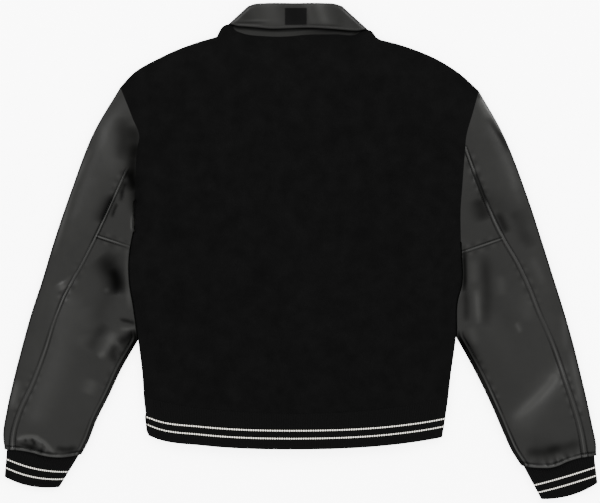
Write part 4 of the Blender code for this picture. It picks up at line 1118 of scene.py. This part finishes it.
def make_upper_sleeve(side):
    last = len(SLEEVE_SECTIONS[side]) - 1
    rows = section_places(side, 0, last)
    outer, seam, inner = OUTER[side].knots(rows), BACK_SEAM[side].knots(rows), INNER[side].knots(rows)
    inner_seam = inner_seam_line(side, rows)
    width = marks(UPPER_WIDTH, FINE, start=ROLL, end=SEWN)
    under = marks(WHOLE_WIDTH, UNDER_STEP, start=ROLL, end=ROLL)
    edge = marks(INNER_SEAM[side], 1.6, end=ROLL[:5])
    strips = []
    for name, shares, left, right in (("outer", width, outer, seam), ("under", under, outer, inner),
                                      ("inner", edge, inner_seam, inner)):
        mouth = between(left[-1], right[-1], shares)
        strips.append(coons(armhole_points(side, name, shares), mouth, left, right))
    top, inside = (laid(SLEEVE, overhang(strips[k], side), 1, SEWN_RELIEF[side]) for k in (0, 2))
    below = laid(SLEEVE, strips[1], -1)
    places = np.concatenate([top[:, ::-1], below[:, 1:], inside[:, -2::-1]], axis=1)
    return panel(f"leather_upper_sleeve_{side}", places, LAMBSKIN, LEATHER, strips[0][:, ::-1])


def make_under_sleeve(side):
    last = len(SLEEVE_SECTIONS[side]) - 1
    across = marks(UNDER_WIDTH, FINE, start=SEWN, end=SEWN)
    above, below = section_places(side, 0, PIECING_ROW), section_places(side, PIECING_ROW, last)
    rows = np.concatenate([above, below[1:]])
    seam, inner_seam = BACK_SEAM[side].knots(rows), inner_seam_line(side, rows)
    ends = armhole_points(side, "middle", across), between(seam[-1], inner_seam[-1], across)
    plan = coons(*ends, seam, inner_seam)
    # the rows near the piecing seam are moved, so that the row on it is straight
    cut = len(above) - 1
    shift = between(seam[cut], inner_seam[cut], across) - plan[cut]
    ease = np.interp(rows, (0.5, PIECING_ROW, PIECING_ROW + 1, PIECING_ROW + 2), (0, 1, 1 / 3, 0))
    plan = overhang(plan + ease[:, None, None] * shift, side)
    pieces = []
    for name, part in (("top", plan[: cut + 1]), ("low", plan[cut:])):
        places = laid(SLEEVE, part, 1, SEWN_RELIEF[side])
        pieces.append(panel(f"leather_under_sleeve_{name}_{side}", places, LAMBSKIN, LEATHER, part))
    return pieces


upper_sleeves = {side: make_upper_sleeve(side) for side in HAND}
under_sleeves = {side: make_under_sleeve(side) for side in HAND}
print("upper sleeves:", [len(piece.data.polygons) for piece in upper_sleeves.values()], "faces")

# %% [markdown]
# ## Rib-knit cuffs and hem
#
# A rib is a row of soft ridges, so each one gets six columns of the grid and its height follows a cosine.
# The cuff is a closed tube: its first and last columns are in the same place and are merged.

# %% Ribs
RIB_HEIGHT, RIB_COLUMNS, KNIT_STEP = 0.9, 6, 4.0
RIB_MARGIN = 0.06                    # share of a cuff's width that lies rolled at each side
CUFF_EDGE_EASE, CUFF_UNDER_RIB = 0.04, 0.7      # ribs die away at the mouth, and are flatter underneath
KNIT_ROWS = dict(start=(1.5,), end=(0.4, 1.0, 2.0))      # closer rows at the seam and the free edge


def ribbed(ribs, margin):
    """Shares across a band and the rib count at each, with plain knit in a margin at both ends."""
    steps = np.linspace(0, ribs, ribs * RIB_COLUMNS + 1)
    edge = marks(margin * 1000, margin * 1000 / 8) * margin
    shares = np.concatenate([edge[:-1], margin + (1 - 2 * margin) * steps / ribs, 1 - edge[-2::-1]])
    columns = len(edge) - 1
    beyond = (1 + np.arange(columns)) * margin * ribs / columns
    return shares, np.concatenate([-beyond[::-1], steps, ribs + beyond])


def rib_relief(count):
    """Height over the plain knit: 0 in a furrow and RIB_HEIGHT on a rib."""
    return RIB_HEIGHT * (0.5 - 0.5 * np.cos(2 * math.pi * count)) ** 0.8


def cuff_tube(side):
    """The cuff's corners at its seam and at its mouth, and its flat tube."""
    a, b = CUFF_SEAM[side]
    along = (b - a) / np.linalg.norm(b - a)
    seam = (a + along * CUFF_INSET, b - along * CUFF_INSET)
    mouth = tuple(np.array(p, float) for p in CUFF_MOUTH[side])
    edges = [np.array([seam[k], mouth[k]]) for k in (0, 1)]
    return seam, mouth, Tube(edges, [], level(0.0), level(CUFF_THICKNESS))


def make_cuff(side):
    seam, mouth, tube = cuff_tube(side)
    down = (mouth[0] + mouth[1] - seam[0] - seam[1]) / 2
    depth = np.linalg.norm(down)
    down /= depth
    shares, count = ribbed(CUFF_RIBS, RIB_MARGIN)
    rows = marks(depth, KNIT_STEP, **KNIT_ROWS)
    bow = 4 * shares * (1 - shares)      # 0 at both sides of the cuff and 1 in its middle
    mouth_ease = smooth(0, CUFF_EDGE_EASE, 1 - rows)[:, None]
    starts, ends = between(*seam, shares), between(*mouth, shares)
    plan = starts + rows[:, None, None] * (ends - starts)
    plan = plan + CUFF_SAG * (rows[:, None] * bow)[..., None] * down
    top, below = laid(tube, plan, 1), laid(tube, plan[:, ::-1], -1)
    top[..., 2] += rib_relief(count) * mouth_ease
    below[..., 2] += (RIB_HEIGHT - rib_relief(count[::-1])) * CUFF_UNDER_RIB
    places = np.concatenate([top, below[:, 1:]], axis=1)
    places[:, -1] = places[:, 0]
    for column in (0, len(shares) - 1, -1):
        places[:, column, 2] = CUFF_THICKNESS / 2
    lengths = np.linalg.norm(plan[-1] - plan[0], axis=1)
    counts, lengths, bow = (np.concatenate([run, run[-2::-1]]) for run in (count, lengths, bow))
    down_the_cuff = np.outer(1 - rows, lengths) - STRIPE_RISE[side] * bow
    uv = np.stack([np.broadcast_to(counts + 0.5, places.shape[:2]), down_the_cuff], axis=-1)
    return panel(f"knit_cuff_{side}", places, CUFF_KNIT[side], KNIT, plan, uv=uv, closed=True)


knit_cuffs = {side: make_cuff(side) for side in HAND}
print("cuffs:", [len(piece.data.polygons) for piece in knit_cuffs.values()], "faces")

# %% [markdown]
# The hem band starts at the left front's edge, runs underneath to the left side, over the back, and
# underneath again to the right front's edge. Its three runs share their columns where they meet, so it is
# one grid.

# %% Hem band
HEM_MARGIN, HEM_ROLL = 0.025, (0, 0.0004, 0.0012, 0.0026, 0.0045, 0.0068, 0.0092, 0.0125, 0.017)
HEM_EDGE_EASE, HEM_UNDER_RIB = 0.03, 0.6


def rib_count(share):
    """How many ribs lie before a share of the hem's width."""
    return (share - HEM_MARGIN) / (1 - 2 * HEM_MARGIN) * HEM_RIBS


def make_hem():
    steps = np.linspace(0, HEM_RIBS, HEM_RIBS * RIB_COLUMNS + 1)
    roll = np.array(HEM_ROLL)
    top = np.concatenate([roll, HEM_MARGIN + (1 - 2 * HEM_MARGIN) * steps / HEM_RIBS, 1 - roll[::-1]])
    under_step = 1 / (HEM_RIBS * RIB_COLUMNS / 2)
    left_end, right_end = RIB_SEAM.share_at_x(PLACKET), RIB_SEAM.share_at_x(-PLACKET)
    under_left = np.concatenate([np.arange(left_end, HEM_MARGIN, -under_step), roll[:0:-1]])
    under_right = np.concatenate([1 - roll[1:], np.arange(1 - HEM_MARGIN, right_end, -under_step)])
    depth = np.linalg.norm(HEM.at([0.5])[0] - RIB_SEAM.at([0.5])[0])
    rows = marks(depth, KNIT_STEP, **KNIT_ROWS)
    parts, counts, lengths = [], [], []
    for shares, tube, up in ((under_left, BODY, -1), (top, BODY, 1), (under_right, LAPPED, -1)):
        seam, hem = RIB_SEAM.at(shares), HEM.at(shares)
        plan = seam[None] + rows[:, None, None] * (hem - seam)[None]
        places = laid(tube, plan, up)
        inside = smooth(0, HEM_MARGIN, np.minimum(shares, 1 - shares))
        ridge = rib_relief(rib_count(shares)) * inside
        if up > 0:
            places[..., 2] += ridge * smooth(0, HEM_EDGE_EASE, 1 - rows)[:, None]
        else:
            places[..., 2] += (RIB_HEIGHT - ridge) * HEM_UNDER_RIB * inside
        parts.append(places)
        counts.append(rib_count(shares))
        lengths.append(np.linalg.norm(hem - seam, axis=1))
    counts = np.broadcast_to(np.concatenate(counts) + 0.5, (len(rows), sum(map(len, counts))))
    uv = np.stack([counts, np.outer(1 - rows, np.concatenate(lengths))], axis=-1)
    return panel("knit_hem", np.concatenate(parts, axis=1), HEM_KNIT, KNIT, parts[1][..., :2], uv=uv)


knit_hem = make_hem()
print("hem band:", len(knit_hem.data.polygons), "faces")

# %% [markdown]
# ## The collar
#
# A shirt-like collar in leather: a low stand is sewn to the neck, and the leaf turns down over it. On the
# back the leaf hides all of the stand but a narrow crescent, and its two points run down underneath, on the
# front.

# %% Collar lines
def round_neck(back, left, right):
    """A line of the collar, in three stretches: over the back, and down the left and the right front."""
    return {"back": Line(back), "left": Line(left), "right": Line(right)}


LEAF_FOLD = round_neck(
    [(-85, 398.5), (-74, 402.2), (-58, 403.4), (-9, 403.5), (40, 403.5), (56, 402.4), (68, 398.5)],
    [(-85, 398.5), (-66, 372), (-48, 345), (-25, 315), (-3, 296)],
    [(68, 398.5), (58, 372), (44, 345), (24, 315), (3, 296)])
LEAF_EDGE = round_neck(
    [(-117, 369), (-110, 367.6), (-103, 365.4), (-89, 364.2), (-70, 362.6), (-47, 360.6), (-22, 361.2),
     (14, 362.3), (38, 361.2), (61, 359.6), (82, 357.8), (96, 357.8), (103, 359.4), (109.5, 360.8)],
    [(-117, 369), (-105, 368.6), (-100, 345), (-95, 305), (-80, 256)],
    [(109.5, 360.8), (98, 359.6), (93, 335), (90, 300), (76, 256)])
STAND_FOLD = round_neck(
    [(-81, 392), (-70, 396), (-9, 396.5), (50, 396), (63, 392)],
    [(-81, 392), (-62, 366), (-44, 340), (-22, 311), (-3, 292)],
    [(63, 392), (52, 366), (40, 340), (20, 311), (3, 292)])
STAND_LAP = (392.0, 330.0)           # the right half of the stand rises onto the lapped front between these
COLLAR_FRONT, COLLAR_BACK, WIDE = 150, 190, 3.5      # usual lengths for the column counts, and a step
LEAF_DEPTH, LEAF_STEP, LEAF_STITCH = 40, 1.6, 3.4
LEAF_ROLL = (0.3, 1.1, 2.4, 4.1, 6.1, 8.3, 11.0)      # closer rows at the fold
LEAF_SEWN = (1.1, 2.0, 2.7, 3.4, 4.1, 5.0)            # and beside the stitches


def collar_rows(lower, upper, tubes, rows, extra=None):
    """A band round the neck in one grid: left front, up round the side, the back, and the right front."""
    parts = []
    front = marks(COLLAR_FRONT, WIDE, start=(1.0, 2.2))
    back = marks(COLLAR_BACK, FINE, start=ROLL, end=ROLL)
    for name, shares, up in (("left", front[::-1], -1), ("back", back, 1), ("right", front, -1)):
        low, high = lower[name].at(shares), upper[name].at(shares)
        plan = low[None] + np.asarray(rows)[:, None, None] * (high - low)[None]
        parts.append(laid(tubes[name], plan, up, extra if up > 0 else None))
    left, middle, right = parts
    return np.concatenate([left[:, :-1], middle, right[:, 1:]], axis=1), middle[..., :2]


print("the leaf's fold is", round(LEAF_FOLD["back"].length), "mm long over the back")

# %% [markdown]
# The leaf is soft, so it swells and sinks a little along its length, and its edge is topstitched. The stand
# has a painted shadow of the leaf.

# %% Relief of the collar
LEAF_SLACK = [
    # where along the leaf its soft swells and sinks are, their half width and height
    (-46, 16, 0.6), (-88, 12, -0.6), (-8, 20, -0.4), (17, 6, 0.5), (36, 9, 1.1), (62, 10, -0.5),
    (88, 9, -0.5)]
LEAF_CREASES = read_folds([
    ([(-92, 373), (-70, 374), (-48, 373.5)], 1.7, 0.7),
    ([(-112, 370.2), (-85, 370.4), (-57, 369.6)], 1.6, -1.0),
    ([(-103, 367), (-80, 366.6), (-60, 365.8)], 1.3, 0.6),
    ([(8, 367.5), (34, 366.5), (70, 365)], 1.5, -0.8)])
LEAF_LEAN, LEAF_MIDDLE = 0.3, 380                # the swells lean over, about this height Y
LEAF_FROM, LEAF_BELOW = (1, 14), (402, 390)      # they grow away from the edge, and down from the fold in Y


def leaf_relief(xy):
    """Height of the leaf's slack and of the stitches along its edge, and their painted shade and highlight.
    """
    edge = near(xy, LEAF_EDGE["back"].dense)[0]
    height, tone = np.zeros(len(xy)), np.zeros(len(xy))
    for x, width, rise in LEAF_SLACK:
        leaning = xy[:, 0] - x + LEAF_LEAN * (xy[:, 1] - LEAF_MIDDLE)
        swell = rise * bell(leaning, width) * smooth(*LEAF_FROM, edge)
        height += 0.7 * swell * smooth(*LEAF_BELOW, xy[:, 1])
        # the swells and creases are also painted lighter and darker
        tone += 0.8 * swell
    slack = heights(xy, LEAF_CREASES, True)
    height, tone = height + 0.5 * slack, tone + slack
    groove = bell(edge - LEAF_STITCH, 0.9)
    turned = 1 - smooth(0, 1.6, edge)
    # a painted highlight along the stitches and painted shade on the turned edge
    return height - 0.7 * groove - 0.9 * turned, tone + 0.7 * groove - 1.2 * turned


def stand_relief(xy):
    """A painted shadow of the leaf on the stand, deeper towards the right; the stand gets no height."""
    edge = near(xy, LEAF_EDGE["back"].dense)[0]
    shadow = 1 - smooth(1.0, 6.5 - 1.5 * smooth(-60, 0, xy[:, 0]), edge)
    return np.zeros(len(xy)), -3.2 * shadow - 0.3 - 1.0 * smooth(-30, 50, xy[:, 0])


print(len(LEAF_SLACK), "swells and", len(LEAF_CREASES), "creases on the leaf")

# %% [markdown]
# Both bands are one grid each, from the tip on the left front over the back to the tip on the right. The leaf
# has a tube of its own, because it lies on the back and is not sewn to it, and the stand fills the gap below.

# %% Leaf and stand
def make_leaf():
    edge, fold = LEAF_EDGE["back"].dense, LEAF_FOLD["back"].dense
    tube = Tube([chain(edge[:1], fold, edge[-1:])], [], level(0.0), level(LEAF_TOP))
    rows = marks(LEAF_DEPTH, LEAF_STEP, start=LEAF_SEWN, end=LEAF_ROLL)
    places, plan = collar_rows(LEAF_EDGE, LEAF_FOLD, dict.fromkeys(LEAF_FOLD, tube), rows, leaf_relief)
    return panel("leather_collar_leaf", places, LAMBSKIN, LEATHER, plan), tube


def make_stand():
    ends = [np.vstack([NECK.dense[k], STAND_FOLD["back"].dense[k]]) for k in (0, -1)]
    top = level(LEAF_LIFT + EDGE_THICKNESS)
    tube = Tube(ends, [], level(LEAF_LIFT), top)
    lapped = Tube(ends, [], lambda xy: LEAF_LIFT + lap(xy) * smooth(*STAND_LAP, xy[:, 1]), top)
    tubes = {"left": tube, "back": tube, "right": lapped}
    rows = marks(LEAF_DEPTH, FINE)
    places, plan = collar_rows({"back": NECK, **NECK_FRONT}, STAND_FOLD, tubes, rows, stand_relief)
    return panel("leather_collar_stand", places, LAMBSKIN, LEATHER, plan)


collar_leaf, LEAF = make_leaf()
collar_stand = make_stand()
print("collar:", len(collar_leaf.data.polygons) + len(collar_stand.data.polygons), "faces")

# %% [markdown]
# A small plain patch of black leather is sewn in the middle of the leaf. It is laid on the leaf's own
# surface and lifted by its gap.

# %% Plain patch
PATCH_BOX = ((-24.5, 367), (10, 394))
PATCH_GAP, PATCH_THICKNESS, PATCH_COLUMNS = 0.3, 1.0, 24


def make_patch():
    columns, rows = (np.linspace(low, high, PATCH_COLUMNS) for low, high in zip(*PATCH_BOX))
    plan = np.stack(np.meshgrid(columns, rows), axis=-1)
    places = laid(LEAF, plan, 1, leaf_relief)
    places[..., 2] += PATCH_GAP + PATCH_THICKNESS
    return panel("leather_patch", places, PATCH_LEATHER, PATCH_THICKNESS, plan)


leather_patch = make_patch()
print("patch:", len(leather_patch.data.polygons), "faces")

# %% [markdown]
# ## Topstitching
#
# A row of stitches is one short thread repeated hundreds of times, so one stitch has few faces: a small
# sphere drawn out along the seam. Each is placed on the leather, in the dip that the welt left for it.

# %% Stitches along a line
STITCH_PITCH, STITCH_LENGTH, STITCH_THICK, STITCH_LIFT = 3.6, 2.9, 0.62, 0.15
STRIP_STITCH = 4.6      # from the edge of the strip on the cuff


def offset_line(line, far):
    """The line moved sideways, to its left where far is above zero."""
    run = np.gradient(line, axis=0)
    run /= np.linalg.norm(run, axis=1)[:, None]
    return line + far * np.column_stack([-run[:, 1], run[:, 0]])


def stitch_row(bm, line, height_of):
    """Adds stitches along a line in plan, each tilted with the leather under it."""
    count = int(run_lengths(line)[-1] / STITCH_PITCH)
    middles = resample(line, (np.arange(count) + 0.5) / count)
    heads = resample(line, (np.arange(count) + 0.8) / count)
    run = heads - middles
    turn = np.arctan2(run[:, 1], run[:, 0])
    low, high = height_of(middles), height_of(heads)
    tilt = np.arctan2(high - low, np.linalg.norm(run, axis=1))
    for (x, y), z, a, b in zip(middles, low, turn, tilt):
        ball = bmesh.ops.create_uvsphere(bm, u_segments=6, v_segments=4, radius=0.5 * MM)["verts"]
        bmesh.ops.scale(bm, vec=(STITCH_LENGTH, STITCH_THICK, STITCH_THICK), verts=ball)
        matrix = Matrix.Translation((x * MM, y * MM, (z + STITCH_LIFT) * MM)) @ Matrix.Rotation(a, 4, "Z")
        bmesh.ops.transform(bm, matrix=matrix @ Matrix.Rotation(-b, 4, "Y"), verts=ball)


def make_stitches(name, lines, height_of):
    bm = bmesh.new()
    for line in lines:
        stitch_row(bm, line, height_of)
    mesh = mesh_from(bm, name)
    mesh.shade_smooth()
    mesh.materials.append(THREAD)
    return put_in_scene(name, mesh)


def sleeve_stitches_of(side):
    back, inner, piecing = (SEAMS[side][name] for name in ("back", "inner", "piecing"))
    below_arm = inner[inner[:, 1] < INNER_SEAM_SHOWS[1]][:-1]
    apart = stitch_distance(side, "back", back[:, 1])[:, None]
    across = resample(piecing, np.linspace(0.05, 0.88, 9))
    lines = [offset_line(back, apart)[6:-1], offset_line(back, -apart)[6:-1]]
    lines += [offset_line(below_arm, far) for far in (INNER_STITCH, -INNER_STITCH)]
    lines += [across + (0, far) for far in (-PIECING_STITCH, PIECING_STITCH)]
    lines.append(offset_line(CUFF_EDGE[side][2:-2], HAND[side] * STRIP_STITCH))
    return make_stitches(f"stitches_sleeve_{side}", lines,
                         lambda xy: SLEEVE.lay(xy, 1)[0] + SEWN_RELIEF[side](xy)[0])


sleeve_stitches = {side: sleeve_stitches_of(side) for side in HAND}
leaf_edge = LEAF_EDGE["back"].at(np.linspace(0.04, 0.96, 60))
collar_stitches = make_stitches("stitches_collar", [offset_line(leaf_edge, LEAF_STITCH)],
                                lambda xy: LEAF.lay(xy, 1)[0] + leaf_relief(xy)[0])
print("stitches:", [len(row.data.polygons) for row in (*sleeve_stitches.values(), collar_stitches)], "faces")

# %% [markdown]
# ## What rides on what
#
# The jacket has no joints, so every piece rides on the one body. A piece that stands for a solid names it,
# and that solid is hidden.

# %% Bodies and solids
SNAPS = 6


def stands_for(piece, nodes):
    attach(piece, "root")
    if nodes:
        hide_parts(*nodes)


stands_for(wool_back, ["back"])
for side in HAND:
    stands_for(wool_fronts[side], [f"front_{side}"])
    stands_for(upper_sleeves[side], [f"sleeve_upper_{side}"])
    top, low = under_sleeves[side]
    stands_for(top, [f"sleeve_under_top_{side}"])
    stands_for(low, [f"sleeve_under_low_{side}"])
    stands_for(knit_cuffs[side], [f"cuff_{side}"])
    stands_for(sleeve_stitches[side], [])
stands_for(knit_hem, ["hem_rib"])
stands_for(collar_leaf, ["collar_leaf"])
stands_for(collar_stand, ["collar_stand"])
stands_for(leather_patch, ["collar_patch"])
stands_for(collar_stitches, [])
for number in range(1, SNAPS + 1):
    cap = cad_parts[f"snap_{number}"].data.materials
    cap.clear()
    cap.append(ENAMEL)
print(SNAPS, "snap caps keep their solids and get the enamel")

# %% [markdown]
# ## Stage, light and camera
#
# The floor is plain white paper that glows a little, so that it stays white. The room glows evenly, and four
# large soft lights stand low round the table: leather that lies flat mirrors the same soft grey everywhere,
# and a slope that leans towards a light is brighter. That, with the painted shade and highlight of the
# tone, draws the folds in dark leather. The camera looks straight down through a long lens.

# %% Floor
FRAME_WIDTH, FLOOR_DROP = 0.978, 0.6 * MM
bm = bmesh.new()
bmesh.ops.create_grid(bm, x_segments=1, y_segments=1, size=6.0)
bmesh.ops.translate(bm, vec=(0, 0, -FLOOR_DROP), verts=bm.verts)
floor = put_in_scene("floor", mesh_from(bm, "floor"))
PAPER, _ = new_material("white_paper", Base_Color=colour("#fbfbfb"), Roughness=0.9,
                        Emission_Color=colour("#ffffff"), Emission_Strength=4.0)
floor.data.materials.append(PAPER)
print("the floor lies", round(FLOOR_DROP / MM, 1), "mm under the jacket, so that the two don't touch")

# %% Lights
LIGHTS = [
    # name, direction in the floor's plane and height over it (degrees), power (W)
    ("upper_left", 138, 32, 150),
    ("upper_right", 42, 32, 150),
    ("lower_left", 215, 30, 45),
    ("lower_right", 325, 30, 45)]
LIGHT_AWAY, LIGHT_SIZE, WORLD_GLOW = 3.0, 2.0, 3.6

for name, turn, rise, power in LIGHTS:
    light = bpy.data.lights.new(name, "AREA")
    light.shape, light.size, light.energy = "DISK", LIGHT_SIZE, power
    lamp = put_in_scene(name, light)
    turn, rise = math.radians(turn), math.radians(rise)
    away = Vector((math.cos(turn) * math.cos(rise), math.sin(turn) * math.cos(rise), math.sin(rise)))
    lamp.location = away * LIGHT_AWAY
    lamp.rotation_euler = away.to_track_quat("Z", "Y").to_euler()
world = bpy.data.worlds.new("studio")
world.use_nodes = True
glow = world.node_tree.nodes["Background"].inputs
glow["Color"].default_value = (1, 1, 1, 1)
glow["Strength"].default_value = WORLD_GLOW
bpy.context.scene.world = world
print(len(LIGHTS), "lights")

# %% Camera
CAMERA_PLACE, SENSOR = (-0.0005, -0.0008, 3.4), 36.0
camera_data = bpy.data.cameras.new("camera")
camera_data.sensor_width = SENSOR
camera_data.lens = SENSOR * CAMERA_PLACE[2] / FRAME_WIDTH
camera = put_in_scene("camera", camera_data)
camera.location = CAMERA_PLACE
bpy.context.scene.camera = camera
print("lens:", round(camera_data.lens), "mm")
